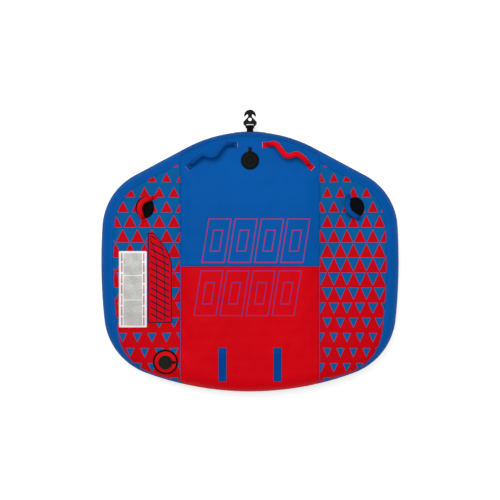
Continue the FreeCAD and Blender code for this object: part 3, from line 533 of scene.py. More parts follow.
def flat_plate(name, loops, low, high, bevel, material, body, centre=(0, 0)):
    """Level plate from closed outlines (the later ones are holes), with rounded edges."""
    curve = bpy.data.curves.new(name, "CURVE")
    curve.dimensions = "2D"
    curve.fill_mode = "BOTH"
    for loop in loops:
        spline = curve.splines.new("POLY")
        spline.points.add(len(loop) - 1)
        for point, spot in zip(spline.points, loop):
            point.co = (spot[0] - centre[0], spot[1] - centre[1], 0, 1)
        spline.use_cyclic_u = True
    curve.extrude = (high - low) / 2 - bevel
    curve.bevel_depth = bevel
    curve.bevel_resolution = 3
    curve.offset = -bevel
    maker = bpy.data.objects.new(name + "_curve", curve)
    mesh = bpy.data.meshes.new_from_object(maker)
    bpy.data.objects.remove(maker)
    mesh.name = name
    mesh.transform(Matrix.Translation((centre[0], centre[1], (low + high) / 2)))
    obj = bpy.data.objects.new(name, mesh)
    bpy.context.collection.objects.link(obj)
    mesh.materials.clear()
    mesh.materials.append(material)
    weld(obj)
    mesh.polygons.foreach_set("use_smooth", [True] * len(mesh.polygons))
    sharp = obj.modifiers.new("corners", "EDGE_SPLIT")
    sharp.split_angle = math.radians(50)
    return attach(obj, body)


def circle_loop(centre, radius, sides=64):
    """Circle of points about a centre."""
    return np.array(centre, float) + round_section(radius, sides)


# ---------------------------------------------------------------- materials

def linear(*colour):
    """Linear light from an sRGB colour of 0 to 255."""
    share = [part / 255 for part in colour]
    light = tuple(part / 12.92 if part <= 0.04045 else ((part + 0.055) / 1.055) ** 2.4 for part in share)
    return light + (1.0,)


class Wire:
    """A number in a material's node tree, with arithmetic."""

    def __init__(self, tree, socket):
        self.tree, self.socket = tree, socket

    def math(self, operation, *others, clamp=False):
        node = self.tree.nodes.new("ShaderNodeMath")
        node.operation = operation
        node.use_clamp = clamp
        for i, item in enumerate((self, *others)):
            if isinstance(item, Wire):
                self.tree.links.new(item.socket, node.inputs[i])
            else:
                node.inputs[i].default_value = item
        return Wire(self.tree, node.outputs[0])

    def __add__(self, other):
        return self.math("ADD", other)

    def __sub__(self, other):
        return self.math("SUBTRACT", other)

    def __mul__(self, other):
        return self.math("MULTIPLY", other)

    def __truediv__(self, other):
        return self.math("DIVIDE", other)

    def abs(self):
        return self.math("ABSOLUTE")

    def sin(self):
        return self.math("SINE")

    def below(self, edge, softness=0.0006):
        """1 where the number is under an edge, with a soft change."""
        return ((self - edge) / -softness + 0.5).math("MULTIPLY", 1.0, clamp=True)

    def less(self, other):
        return self.math("LESS_THAN", other)


class Paint:
    """A material being built: a Principled shader, the object's coordinates, and relief and colour layers."""

    def __init__(self, name, colour, roughness):
        self.material = bpy.data.materials.new(name)
        self.material.use_nodes = True
        self.tree = self.material.node_tree
        self.shader = next(node for node in self.tree.nodes if node.type == "BSDF_PRINCIPLED")
        self.shader.inputs["Roughness"].default_value = roughness
        place = self.tree.nodes.new("ShaderNodeTexCoord")
        self.place = place.outputs["Object"]
        split = self.tree.nodes.new("ShaderNodeSeparateXYZ")
        self.tree.links.new(self.place, split.inputs[0])
        self.x, self.y, self.z = (Wire(self.tree, split.outputs[i]) for i in range(3))
        self.colour = colour
        self.height = None

    def noise(self, scale, detail=2.0, stretch=None):
        """Noise of 0 to 1, with its scale in cycles a metre."""
        node = self.tree.nodes.new("ShaderNodeTexNoise")
        node.inputs["Scale"].default_value = scale
        node.inputs["Detail"].default_value = detail
        source = self.place
        if stretch:
            mapping = self.tree.nodes.new("ShaderNodeMapping")
            mapping.inputs["Scale"].default_value = stretch
            self.tree.links.new(self.place, mapping.inputs["Vector"])
            source = mapping.outputs["Vector"]
        self.tree.links.new(source, node.inputs["Vector"])
        return Wire(self.tree, node.outputs["Fac"])

    def _mix(self, kind, factor, first, second):
        node = self.tree.nodes.new("ShaderNodeMix")
        node.data_type = "RGBA"
        node.blend_type = kind
        for socket, item in ((node.inputs[0], factor), (node.inputs[6], first), (node.inputs[7], second)):
            if isinstance(item, Wire):
                self.tree.links.new(item.socket, socket)
            elif isinstance(item, bpy.types.NodeSocket):
                self.tree.links.new(item, socket)
            else:
                socket.default_value = item
        return node.outputs[2]

    def layer(self, factor, colour):
        """Cover the colour so far with another one where factor is 1."""
        self.colour = self._mix("MIX", factor, self.colour, colour)

    def shade(self, amount, low, high):
        """Multiply the colour by a grey that runs from low to high as amount goes from 0 to 1."""
        ramp = amount * (high - low) + low
        grey = self.tree.nodes.new("ShaderNodeCombineColor")
        for i in range(3):
            self.tree.links.new(ramp.socket, grey.inputs[i])
        self.colour = self._mix("MULTIPLY", 1.0, self.colour, grey.outputs[0])

    def bump(self, height, distance, strength=1.0):
        """Add a relief layer, in metres at full height."""
        node = self.tree.nodes.new("ShaderNodeBump")
        node.inputs["Strength"].default_value = strength
        node.inputs["Distance"].default_value = distance
        self.tree.links.new(height.socket, node.inputs["Height"])
        if self.height is not None:
            self.tree.links.new(self.height, node.inputs["Normal"])
        self.height = node.outputs["Normal"]

    def rough(self, amount, low, high):
        """Roughness that runs from low to high as amount goes from 0 to 1."""
        ramp = amount * (high - low) + low
        self.tree.links.new(ramp.socket, self.shader.inputs["Roughness"])

    def finish(self, **facts):
        """Connect colour and relief; facts set the shader's own sockets, spaces written as underscores."""
        if isinstance(self.colour, bpy.types.NodeSocket):
            self.tree.links.new(self.colour, self.shader.inputs["Base Color"])
        else:
            self.shader.inputs["Base Color"].default_value = self.colour
        if self.height is not None:
            self.tree.links.new(self.height, self.shader.inputs["Normal"])
        for key, value in facts.items():
            self.shader.inputs[key.replace("_", " ")].default_value = value
        return self.material


BLUE, RED = linear(0, 84, 163), linear(206, 0, 16)
PRINT_BLUE, PRINT_RED = linear(0, 90, 152), linear(194, 0, 14)
BLACK, NAVY, WHITE = linear(9, 9, 10), linear(14, 18, 52), linear(232, 230, 232)
FABRIC_SPECULAR, RUBBER_SPECULAR = 0.04, 0.05


def woven(paint, pitch=0.0011, depth=0.00012):
    """Plain weave relief, slow and quick changes of tone, and uneven gloss."""
    wave = 2 * math.pi / pitch
    weave = ((paint.x + paint.z) * wave).sin() * ((paint.y + paint.z) * wave).sin()
    paint.bump(weave * 0.5 + 0.5, depth, 0.5)
    paint.bump(paint.noise(55, 3), 0.0009, 0.35)
    paint.bump(paint.noise(9, 3), 0.004, 0.35)
    paint.shade(paint.noise(3.2, 3), 0.88, 1.12)
    paint.shade(paint.noise(240, 2), 0.94, 1.06)
    paint.rough(paint.noise(40, 2), 0.50, 0.72)


def cover_fabric(name, colour):
    """Plain woven cover cloth."""
    paint = Paint(name, colour, 0.6)
    woven(paint)
    return paint.finish(Specular_IOR_Level=FABRIC_SPECULAR)


def slanted_boxes(paint, low, high, count, lean, line):
    """Outlines of a row of leaning boxes between two corners: 1 on the lines."""
    (x_low, y_low), (x_high, y_high) = low, high
    pitch = (x_high - x_low) / count
    u = (paint.x - paint.y * lean - x_low + (y_low + y_high) / 2 * lean) / pitch
    cell = (u.math("FRACT") - 0.5).abs() * pitch
    v = (paint.y - (y_low + y_high) / 2).abs()
    inside = (u / count - 0.5).abs().less(0.5)
    outer = (cell - pitch * 0.42).math("MAXIMUM", v - (y_high - y_low) / 2)
    inner = (cell - pitch * 0.17).math("MAXIMUM", v - (y_high - y_low) * 0.24)
    lines = (outer.abs().below(line / 2)).math("MAXIMUM", inner.abs().below(line / 2))
    return lines * inside


def centre_fabric(name, colour, low, high, count, line_colour):
    """Plain cloth printed with a row of leaning outlined boxes."""
    paint = Paint(name, colour, 0.6)
    paint.layer(slanted_boxes(paint, low, high, count, 0.16, 0.0045) * 0.85, line_colour)
    woven(paint)
    return paint.finish(Specular_IOR_Level=FABRIC_SPECULAR)


PRINT_ROW, PRINT_TOP = 0.0839, 0.525


def printed_fabric(name, pitch, first, emblem):
    """Blue cloth with rows of red triangles that grow towards the tail until they run together."""
    paint = Paint(name, PRINT_BLUE, 0.6)
    row = (paint.y - PRINT_TOP) / PRINT_ROW
    number = row.math("FLOOR")
    up = row - number
    odd = (number * 0.5).math("FRACT") * 2.0
    across = ((paint.x - first) / pitch + odd * 0.5 + 0.5).math("FRACT")
    aside = (across - 0.5).abs() * 2.0
    grown = ((paint.y * -0.86) + 1.0215).math("MAXIMUM", 0.55).math("MINIMUM", 1.38)
    paint.layer((aside + up - grown).below(0.0, 0.05), PRINT_RED)
    if emblem:
        (x_low, y_low), (x_high, y_high) = emblem
        middle, half = (x_low + x_high) / 2, (x_high - x_low) / 2
        v = (paint.y - y_low) / (y_high - y_low)
        taper = v.math("SUBTRACT", 0.60).math("MAXIMUM", 0.0)
        taper = taper * taper * 0.30
        reach = (paint.x - middle + taper).abs() + taper
        field = (reach - half).math("MAXIMUM", (paint.y - (y_low + y_high) / 2).abs() - (y_high - y_low) / 2)
        bars = ((paint.y + paint.x * 0.55) / 0.036).math("FRACT")
        paint.layer(field.below(0.006), NAVY)
        paint.layer(field.below(0.0), RED)
        gap = (bars - 0.5).abs().below(0.11, 0.02) * field.below(-0.009)
        paint.layer(gap, NAVY)
        for share in (-0.30, 0.45):
            spine = (paint.x - middle - half * share + taper).abs().below(0.0022) * field.below(-0.004)
            paint.layer(spine, NAVY)
    woven(paint)
    return paint.finish(Specular_IOR_Level=FABRIC_SPECULAR)


WEBBING_PITCH = 0.0024


def webbing(name, colour):
    """Coarse twill of webbing and thread."""
    paint = Paint(name, colour, 0.65)
    wave = 2 * math.pi / WEBBING_PITCH
    twill = ((paint.x + paint.y + paint.z) * wave).sin() * ((paint.x - paint.y) * wave).sin()
    paint.bump(twill * 0.5 + 0.5, 0.0003, 0.6)
    paint.shade(paint.noise(60, 3), 0.85, 1.12)
    paint.rough(paint.noise(90, 2), 0.55, 0.8)
    return paint.finish(Specular_IOR_Level=FABRIC_SPECULAR)


def rubber(name, colour, roughness=0.5, grain=420, depth=0.00025):
    """Rubber, foam or moulded plastic with a fine grain and uneven gloss."""
    paint = Paint(name, colour, roughness)
    paint.bump(paint.noise(grain, 2), depth, 0.5)
    paint.shade(paint.noise(14, 3), 0.8, 1.25)
    paint.rough(paint.noise(30, 3), roughness - 0.12, roughness + 0.12)
    return paint.finish(Specular_IOR_Level=RUBBER_SPECULAR)


def metal(name, colour):
    """Cast alloy with a fine grain."""
    paint = Paint(name, colour, 0.35)
    paint.bump(paint.noise(600, 2), 0.0001, 0.4)
    paint.rough(paint.noise(80, 3), 0.22, 0.45)
    return paint.finish(Metallic=0.9)


def label_film(name):
    """White printed film: grey fields of fine rules, red side bars and thin frames; no lettering."""
    low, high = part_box("label_patch")
    paint = Paint(name, WHITE, 0.35)
    u = (paint.x - low.x) / (high.x - low.x)
    v = (paint.y - low.y) / (high.y - low.y)
    field = (u - 0.5).abs().below(0.33, 0.01) * (v - 0.5).abs().below(0.475, 0.004)
    rule = (v * 78.0).math("FRACT").less(0.45)
    ragged = paint.noise(60, 1, (1.0, 6.0, 1.0)).math("GREATER_THAN", 0.42)
    paint.layer(field, linear(196, 194, 190))
    paint.layer(field * rule * ragged * 0.55, linear(120, 118, 120))
    for at in (0.36, 0.68):
        paint.layer((v - at).abs().below(0.004, 0.002) * field, WHITE)
    block = (v * 7.0).math("FRACT")
    for at in (0.105, 0.895):
        bar = (u - at).abs().below(0.025, 0.01) * (v - 0.5).abs().below(0.475, 0.004)
        paint.layer(bar * (block - 0.5).abs().below(0.44, 0.02) * 0.8, linear(140, 20, 40))
    paint.bump(paint.noise(30, 3), 0.0008, 0.4)
    paint.shade(paint.noise(8, 3), 0.94, 1.06)
    return paint.finish(Specular_IOR_Level=0.4, Coat_Weight=0.15, Coat_Roughness=0.2)


DECK_FRONT = centre_fabric("front_print", BLUE, (-0.259, -0.006), (0.325, 0.236), 4, linear(190, 20, 60))
DECK_REAR = centre_fabric("rear_print", RED, (-0.303, -0.301), (0.276, -0.053), 4, linear(60, 60, 140))
WING_LEFT = printed_fabric("wing_print_left", 0.0810, -0.4233, ((-0.562, -0.336), (-0.440, 0.153)))
WING_RIGHT = printed_fabric("wing_print_right", 0.0723, 0.4300, None)
BLUE_CLOTH = cover_fabric("blue_cloth", BLUE)
# The nose band's cloth is the deck blue darkened: painted shade where the rounded nose turns away from the
# light.
NOSE_CLOTH_PAINTED_SHADE = cover_fabric("nose_cloth_painted_shade", linear(0, 76, 148))
BLACK_CLOTH = cover_fabric("black_cloth", BLACK)
BLUE_GRIP = cover_fabric("blue_grip_cloth", linear(0, 76, 152))
RED_GRIP = cover_fabric("red_grip_cloth", linear(214, 6, 18))
BLUE_THREAD = webbing("blue_thread", linear(30, 110, 190))
RED_THREAD = webbing("red_thread", linear(180, 10, 24))
WHITE_THREAD = webbing("white_thread", linear(215, 220, 228))
BLACK_THREAD = webbing("black_thread", BLACK)
BLUE_WEBBING = webbing("blue_webbing_weave", linear(0, 66, 140))
RED_WEBBING = webbing("red_webbing_weave", RED)
BLACK_WEBBING = webbing("black_webbing_weave", BLACK)
NEOPRENE = rubber("black_neoprene_foam", linear(8, 7, 9), 0.75, 700, 0.0003)
RUBBER = rubber("black_rubber_skin", linear(7, 8, 8), 0.5)
MOULDED = rubber("black_moulded_plastic", linear(13, 13, 14), 0.38, 900, 0.00012)
CAP_PLASTIC = rubber("cap_plastic", linear(26, 28, 24), 0.42, 700, 0.00015)
VINYL = rubber("bladder_vinyl_film", linear(40, 44, 48), 0.4, 200, 0.0004)
RED_VINYL = rubber("red_vinyl_film", linear(215, 4, 16), 0.38, 120, 0.0005)
LABEL = label_film("label_print")
TAPE = webbing("zip_tape_weave", linear(18, 18, 20))
METAL = metal("zip_alloy", linear(120, 122, 126))


def dress(obj, *nodes):
    """Let a piece stand for CAD nodes, whose own meshes are hidden."""
    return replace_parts(obj, *nodes) if nodes else obj


# ---------------------------------------------------------------- cover panels

CELL = 0.0055                                       # spacing of the points of a panel
VALVE_HOLES = {"left": (middle_of("rear_valve_collar"), 0.0625), "right": None}


def rim_grid(zone, shares, start, rows):
    """Points of a rim panel, from its inner margin (a number or one for each share) down to the join."""
    starts = np.broadcast_to(np.asarray(start, float), shares.shape)
    margins = np.stack([rim_margins(value, rows) for value in starts], 1)
    x, y = strip(zone, np.broadcast_to(shares, margins.shape), margins)
    return x, y


def make_centre_panels():
    """Front and rear deck panels, and the nose band in front of them."""
    across = np.linspace(-1, 1, int(2 * CENTRE_HALF / CELL))
    x = across * CENTRE_HALF
    seam_x, seam_y = strip("nose", across, NOSE_SEAM)
    front_edge = np.interp(x, seam_x, seam_y)
    down = np.linspace(0, 1, int(0.72 / CELL))[:, None]
    points, _ = skin(np.broadcast_to(x, (len(down), len(x))), SPLIT_Y + down * (front_edge - SPLIT_Y))
    port = (middle_of("bow_port_socket"), 0.0215)
    dress(panel("cover_deck_front", points, DECK_FRONT, port), "deck_panel_front")

    rim_x, rim_y = rim_grid("tail", across, ROLL, 34)
    flat = np.linspace(0, 1, int(0.6 / CELL), endpoint=False)[:, None]
    flat_x = x + flat * (rim_x[0] - x)
    flat_y = SPLIT_Y + flat * (rim_y[0] - SPLIT_Y)
    points, _ = skin(np.concatenate([flat_x, rim_x]), np.concatenate([flat_y, rim_y]))
    dress(panel("cover_deck_rear", points, DECK_REAR), "deck_panel_rear")

    points, _ = skin(*rim_grid("nose", across, NOSE_SEAM, 22))
    # The nose band takes the darker blue of painted shade.
    dress(panel("cover_nose_band", points, NOSE_CLOTH_PAINTED_SHADE), "nose_band")


def wing_edge(count):
    """Right wing's outer edge, from the centre seam at the nose to the centre seam at the tail."""
    first, last = WING.crossing(CENTRE_HALF, 0, False), WING.crossing(CENTRE_HALF, 0, True)
    return np.stack(WING.at(np.linspace(first, last, count)), 1)


def make_wing(sign, hand, material):
    """Wing panel filled in between its four edges: centre seam, shoulder, side and tail."""
    edge = wing_edge(1201)
    corner_one, corner_two = 400, 800
    rows, columns = 190, 70

    def along(curve, count):
        length = np.concatenate([[0], np.cumsum(np.hypot(*np.diff(curve, axis=0).T))])
        at = np.linspace(0, length[-1], count)
        return np.stack([np.interp(at, length, curve[:, i]) for i in range(2)], 1)

    top, side = along(edge[:corner_one + 1], columns), along(edge[corner_one:corner_two + 1], rows)
    bottom = along(edge[corner_two:][::-1], columns)
    seam = np.linspace(edge[0], edge[-1], rows)
    u, v = np.linspace(0, 1, columns)[None, :, None], np.linspace(0, 1, rows)[:, None, None]
    grid = ((1 - v) * top[None] + v * bottom[None] + (1 - u) * seam[:, None] + u * side[:, None]
            - (1 - u) * (1 - v) * top[0] - u * (1 - v) * top[-1]
            - (1 - u) * v * bottom[0] - u * v * bottom[-1])
    points, _ = skin(grid[..., 0] * sign, grid[..., 1])
    dress(panel(f"cover_wing_{hand}", points, material, VALVE_HOLES[hand]), f"wing_panel_{hand}")


def band_start(shares):
    """Margin of the wing's edge at each share of the side rim."""
    low, high = np.full(shares.shape, 0.004), np.full(shares.shape, 0.13)
    for _ in range(36):
        half = (low + high) / 2
        inside = WING.margin(*strip("side", shares, half))[0] > 0
        high, low = np.where(inside, half, high), np.where(inside, low, half)
    return (low + high) / 2


def make_side_band(sign, hand):
    """Side band from the wing's edge down to the join."""
    shares = np.linspace(0, 1, 330)
    x, y = rim_grid("side", shares, band_start(shares), 24)
    points, _ = skin(x * sign, y)
    dress(panel(f"cover_side_{hand}", points, BLUE_CLOTH, VALVE_HOLES[hand]), f"side_band_{hand}")


def whole_rim(margin, count=560):
    """Closed ring of points round the hull at a margin."""
    run = np.linspace(0, HULL.length, count // 2 + 1)
    x, y = HULL.at(run, margin)
    return np.concatenate([x, -x[1:-1][::-1]]), np.concatenate([y, y[1:-1][::-1]])


def make_underside():
    """Underside panel: rings of the rim up to the join, and a flat bottom inside them."""
    rings = [whole_rim(margin) for margin in rim_margins(ROLL, 30)[::-1]]
    x, y = np.array([r[0] for r in rings]), np.array([r[1] for r in rings])
    inner = np.linspace(1, 0.02, 80)[1:, None]
    centre_y = y[-1].mean()
    x = np.concatenate([x, x[-1] * inner])
    y = np.concatenate([y, centre_y + (y[-1] - centre_y) * inner])
    points, _ = skin(x, y, under=True)
    rows, columns = x.shape
    faces = grid_faces(rows, columns, closed=True)
    faces.append(tuple((rows - 1) * columns + i for i in range(columns)))
    obj = piece_from("cover_underside", points, faces, BLACK_CLOTH, None)
    bm = bmesh.new()
    bm.from_mesh(obj.data)
    bmesh.ops.recalc_face_normals(bm, faces=bm.faces)
    if bm.faces[-1].normal.z > 0:
        bmesh.ops.reverse_faces(bm, faces=bm.faces)
    bm.to_mesh(obj.data)
    bm.free()
    dress(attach(thicken(obj), "hull"), "bottom_panel")


def make_bladder_core():
    """Air bladder that fills the cover, a little smaller than it all round."""
    inset = 0.042
    levels = np.linspace(-math.pi / 2, math.pi / 2, 25)
    rings = []
    for level in levels:
        margin = inset + (ROLL - inset * 0.4) * (1 - math.cos(level) ** (2 / POWER))
        x, y = whole_rim(min(margin, 0.19), 240)
        height = math.copysign(abs(math.sin(level)) ** (2 / POWER), level) * (RISE - inset)
        rings.append(np.stack([x, y, JOIN + height + 0 * x], -1))
    obj = closed_surface("air_bladder", np.array(rings), VINYL)
    dress(obj, "bladder", "baffle_outer_left", "baffle_inner_left", "baffle_inner_right",
          "baffle_outer_right")


# ---------------------------------------------------------------- seams

def rib(name, points, normal, section, material):
    """Section carried along a line on the cover, square to the cover."""
    side = np.cross(np.gradient(points, axis=0), normal)
    side /= np.linalg.norm(side, axis=1, keepdims=True)
    return dress(closed_surface(name, carried(points, side, normal, section), material))


def seam_line(name, x, y, material, radius=0.0022, lift=0.0006):
    """Piping along a seam."""
    points, normal = skin(x, y, lift)
    forward = np.gradient(points, axis=0)
    keep = np.linalg.norm(forward, axis=1) > 1e-7
    return rib(name, points[keep], normal[keep], round_section(radius, 10), material)


def stitch_row(name, x, y, material, lift=0.0003, **sizes):
    """Stitches along a line on the cover."""
    points, normal = skin(x, y, lift)
    return dress(stitches(name, points, normal, material, **sizes))


def make_seams():
    """Piping and stitches of every seam of the deck, and the welt round the join."""
    across = np.linspace(-1, 1, 260)
    x, y = strip("nose", across, NOSE_SEAM)
    seam_line("piping_nose", x, y, BLUE_CLOTH, 0.0028)
    for number, step in enumerate((0.007, 0.012)):
        stitch_row(f"stitch_nose_{number}", *strip("nose", across, NOSE_SEAM + step), BLUE_THREAD)
    x = np.linspace(-CENTRE_HALF, CENTRE_HALF, 240)
    for number, step in enumerate((0.005, -0.005)):
        thread = BLUE_THREAD if step > 0 else RED_THREAD
        stitch_row(f"stitch_split_{number}", x, SPLIT_Y + step + 0 * x, thread)
    for hand, sign in (("left", -1), ("right", 1)):
        # Centre seam from the join at the nose, over the deck, down to the join at the tail.
        margins = rim_margins(ROLL, 30)
        nose_y, tail_y = (strip("side", np.full(30, share), margins)[1] for share in (0, 1))
        deck = np.linspace(nose_y[0], tail_y[0], 260)[1:-1]
        y = np.concatenate([nose_y[::-1], deck, tail_y])
        x = sign * CENTRE_HALF * np.ones(len(y))
        seam_line(f"piping_centre_{hand}", x, y, BLUE_CLOTH, 0.0016, 0.0002)
        sewn = np.abs(y) < abs(y[14])
        for end, thread in (("front", BLUE_THREAD), ("rear", RED_THREAD)):
            part = sewn & ((y > SPLIT_Y) == (end == "front"))
            for number, step in enumerate((0.006, -0.006)):
                stitch_row(f"stitch_centre_{end}_{hand}_{number}", (x + step * sign)[part], y[part], thread,
                           pitch=0.0065)
        edge = wing_edge(420)
        seam_line(f"piping_wing_{hand}", edge[:, 0] * sign, edge[:, 1], BLUE_CLOTH, 0.0016, 0.0002)
        inner = WING.at(np.linspace(WING.crossing(CENTRE_HALF, 0.006, False),
                                    WING.crossing(CENTRE_HALF, 0.006, True), 420), 0.006)
        stitch_row(f"stitch_wing_{hand}", inner[0] * sign, inner[1], BLUE_THREAD, pitch=0.0065)
    # Welt round the join, left out behind the tow patch and along the zip.
    patch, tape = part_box("tow_patch")[1].x + 0.004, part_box("zip_tape")[1].x + 0.004
    first, last = HULL.crossing(patch, 0, False), HULL.crossing(tape, 0, True)
    for hand, sign in (("left", -1), ("right", 1)):
        x, y = HULL.at(np.linspace(first, last, 420))
        seam_line(f"welt_{hand}", x * sign, y, BLACK_CLOTH, 0.0042, -0.0034)


# ---------------------------------------------------------------- flat trim on the deck

def laid(name, low, high, lift, material, cell=0.004, edge=0.0012, corner=0.002):
    """Flat piece laid on the cover between two corners, with rounded edges and corners."""
    def spread(a, b):
        inner = np.linspace(a + edge, b - edge, max(int((b - a) / cell), 3))
        rim = edge * (1 - np.cos(np.linspace(0, math.pi / 2, 5)))[:-1]
        return np.concatenate([a + rim, inner, b - rim[::-1]])

    xs, ys = spread(low.x, high.x), spread(low.y, high.y)
    gx, gy = np.meshgrid(xs, ys)
    centre_x, centre_y = (low.x + high.x) / 2, (low.y + high.y) / 2
    over_x = np.maximum(np.abs(gx - centre_x) - (high.x - low.x) / 2 + corner, 0)
    over_y = np.maximum(np.abs(gy - centre_y) - (high.y - low.y) / 2 + corner, 0)
    beyond = np.maximum(np.hypot(over_x, over_y) / corner, 1)
    gx = gx - np.sign(gx - centre_x) * over_x * (1 - 1 / beyond)
    gy = gy - np.sign(gy - centre_y) * over_y * (1 - 1 / beyond)
    near = np.minimum((high.x - low.x) / 2 - np.abs(gx - centre_x),
                      (high.y - low.y) / 2 - np.abs(gy - centre_y))
    share = np.clip(near / edge, 0, 1)
    top, _ = skin(gx, gy, lift * np.sqrt(1 - (1 - share) ** 2) * 0.999 + 0.0001)
    under, _ = skin(gx, gy, -0.0008)
    return slab(name, top, under, material)


def frame_line(low, high, inset):
    """Closed rectangle of points inside two corners."""
    a, b = (low.x + inset, low.y + inset), (high.x - inset, high.y - inset)
    corners = np.array([a, (b[0], a[1]), b, (a[0], b[1]), a])
    return even(np.column_stack([corners, np.zeros(5)]), 0.004)[:, :2].T


BAR_RIB = np.array([(-0.0014, -0.0006), (-0.0008, 0.0003), (0, 0.0006),
                    (0.0008, 0.0003), (0.0014, -0.0006)])
BOX_LENGTH, BOX_INSET = 0.030, 0.0045


def make_trim():
    """Webbing bars at the tail, ribbed and box stitched, and the sewn label."""
    for hand in ("left", "right"):
        low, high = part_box(f"rear_strap_{hand}")
        name = f"rear_bar_{hand}"
        dress(laid(name, low, high, 0.0022, BLUE_WEBBING, 0.003), f"rear_strap_{hand}")
        for number, spot in enumerate(np.linspace(low.x, high.x, 9)[1:-1]):
            y = np.linspace(low.y + 0.004, high.y - 0.004, 60)
            points, normal = skin(spot + 0 * y, y, 0.0019)
            rib(f"{name}_rib_{number}", points, normal, BAR_RIB, BLUE_WEBBING)
        sewn = {"lift": 0.0024, "pitch": 0.005, "length": 0.0036}
        ends = (("rear", low.y, low.y + BOX_LENGTH), ("front", high.y - BOX_LENGTH, high.y))
        for end, y_low, y_high in ends:
            box = frame_line(Vector((low.x, y_low, 0)), Vector((high.x, y_high, 0)), BOX_INSET)
            stitch_row(f"{name}_box_{end}", *box, BLUE_THREAD, **sewn)
            for number, flip in enumerate((1, -1)):
                share = np.linspace(-1, 1, 20)
                x = (low.x + high.x) / 2 + share * (high.x - low.x - 0.012) / 2
                y = (y_low + y_high) / 2 + share * flip * 0.010
                stitch_row(f"{name}_cross_{end}_{number}", x, y, BLUE_THREAD, **sewn)
    low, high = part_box("label_patch")
    dress(laid("rating_label", low, high, 0.0009, LABEL, 0.006, 0.0006, 0.004), "label_patch")
    stitch_row("rating_label_stitch", *frame_line(low, high, 0.004), WHITE_THREAD, lift=0.0010, pitch=0.0055)


PAD_STRETCH, PAD_WIDENING, PAD_OUTWARD = 1.15, 0.003, 0.009


def make_knuckle_pads():
    """Oval foam pads under the side handles, with a stitched groove inside the edge."""
    for hand in ("left", "right"):
        low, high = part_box(f"knuckle_pad_{hand}")
        centre = middle_of(f"knuckle_pad_{hand}")
        radius, top = (high.x - low.x) / 2 + PAD_WIDENING, high.z - DECK
        groove = radius - 0.0078
        profile = [(0, -0.001), (radius - 0.001, -0.001), (radius, 0.0006), (radius - 0.0012, top * 0.72),
                   (radius - 0.0062, top * 0.78), (groove, top * 0.52), (radius - 0.0094, top * 0.80),
                   (radius - 0.014, top), (0, top)]
        middle = (centre.x + math.copysign(PAD_OUTWARD, centre.x), centre.y)
        pad = lathe(f"knuckle_disc_{hand}", profile, (*middle, DECK), NEOPRENE, bevel=0.0012)
        for vertex in pad.data.vertices:
            vertex.co.y = middle[1] + (vertex.co.y - middle[1]) * PAD_STRETCH
        dress(pad, f"knuckle_pad_{hand}")
        turn = np.linspace(0, 2 * math.pi, 120)
        path = np.stack([middle[0] + groove * np.cos(turn), middle[1] + groove * PAD_STRETCH * np.sin(turn),
                         DECK + top * 0.56 + 0 * turn], 1)
        dress(stitches(f"knuckle_stitch_{hand}", path, (0, 0, 1), BLACK_THREAD, pitch=0.0052, length=0.0036))


# ---------------------------------------------------------------- handles

# Routes of the handles: share of the way, offset aside in metres, and share of the rise.
BOW_ROUTE = [
    (0.00, 0, 0.00), (0.13, 0.018, 0.70), (0.30, -0.003, 1.00), (0.46, -0.022, 1.00),
    (0.57, -0.010, 1.00), (0.66, 0.018, 1.00), (0.84, 0.013, 0.75), (1.00, 0, 0.00),
]
SIDE_BOW = 0.034
SIDE_ROUTE = [
    (0.00, 0.0, 0.00), (0.13, 0.45 * SIDE_BOW, 0.60), (0.36, SIDE_BOW, 1.00),
    (0.64, SIDE_BOW, 1.00), (0.87, 0.45 * SIDE_BOW, 0.60), (1.00, 0.0, 0.00),
]
HANDLE_RISE = 0.038
JOINTS = {joint["name"]: joint for joint in frame["record"]["behaviour"]["joints"]}


def handle_points(name, route, mirror):
    """Route of a handle's centreline between its two pivots, in the tube's frame."""
    joint = JOINTS[f"{name}_swing"]
    start, axis = np.array(joint["pos_m"]), np.array(joint["axis"], float)
    chord = axis * HANDLE_SPANS[name]
    side = np.array([-chord[1], chord[0], 0]) / np.linalg.norm(chord)
    return [start + chord * along + side * aside * mirror + np.array([0, 0, rise * HANDLE_RISE])
            for along, aside, rise in route]


SLEEVE_WIDENING = 0.20                              # how much wider a side handle's sleeve is in the middle
CUFF_POINTS = 8


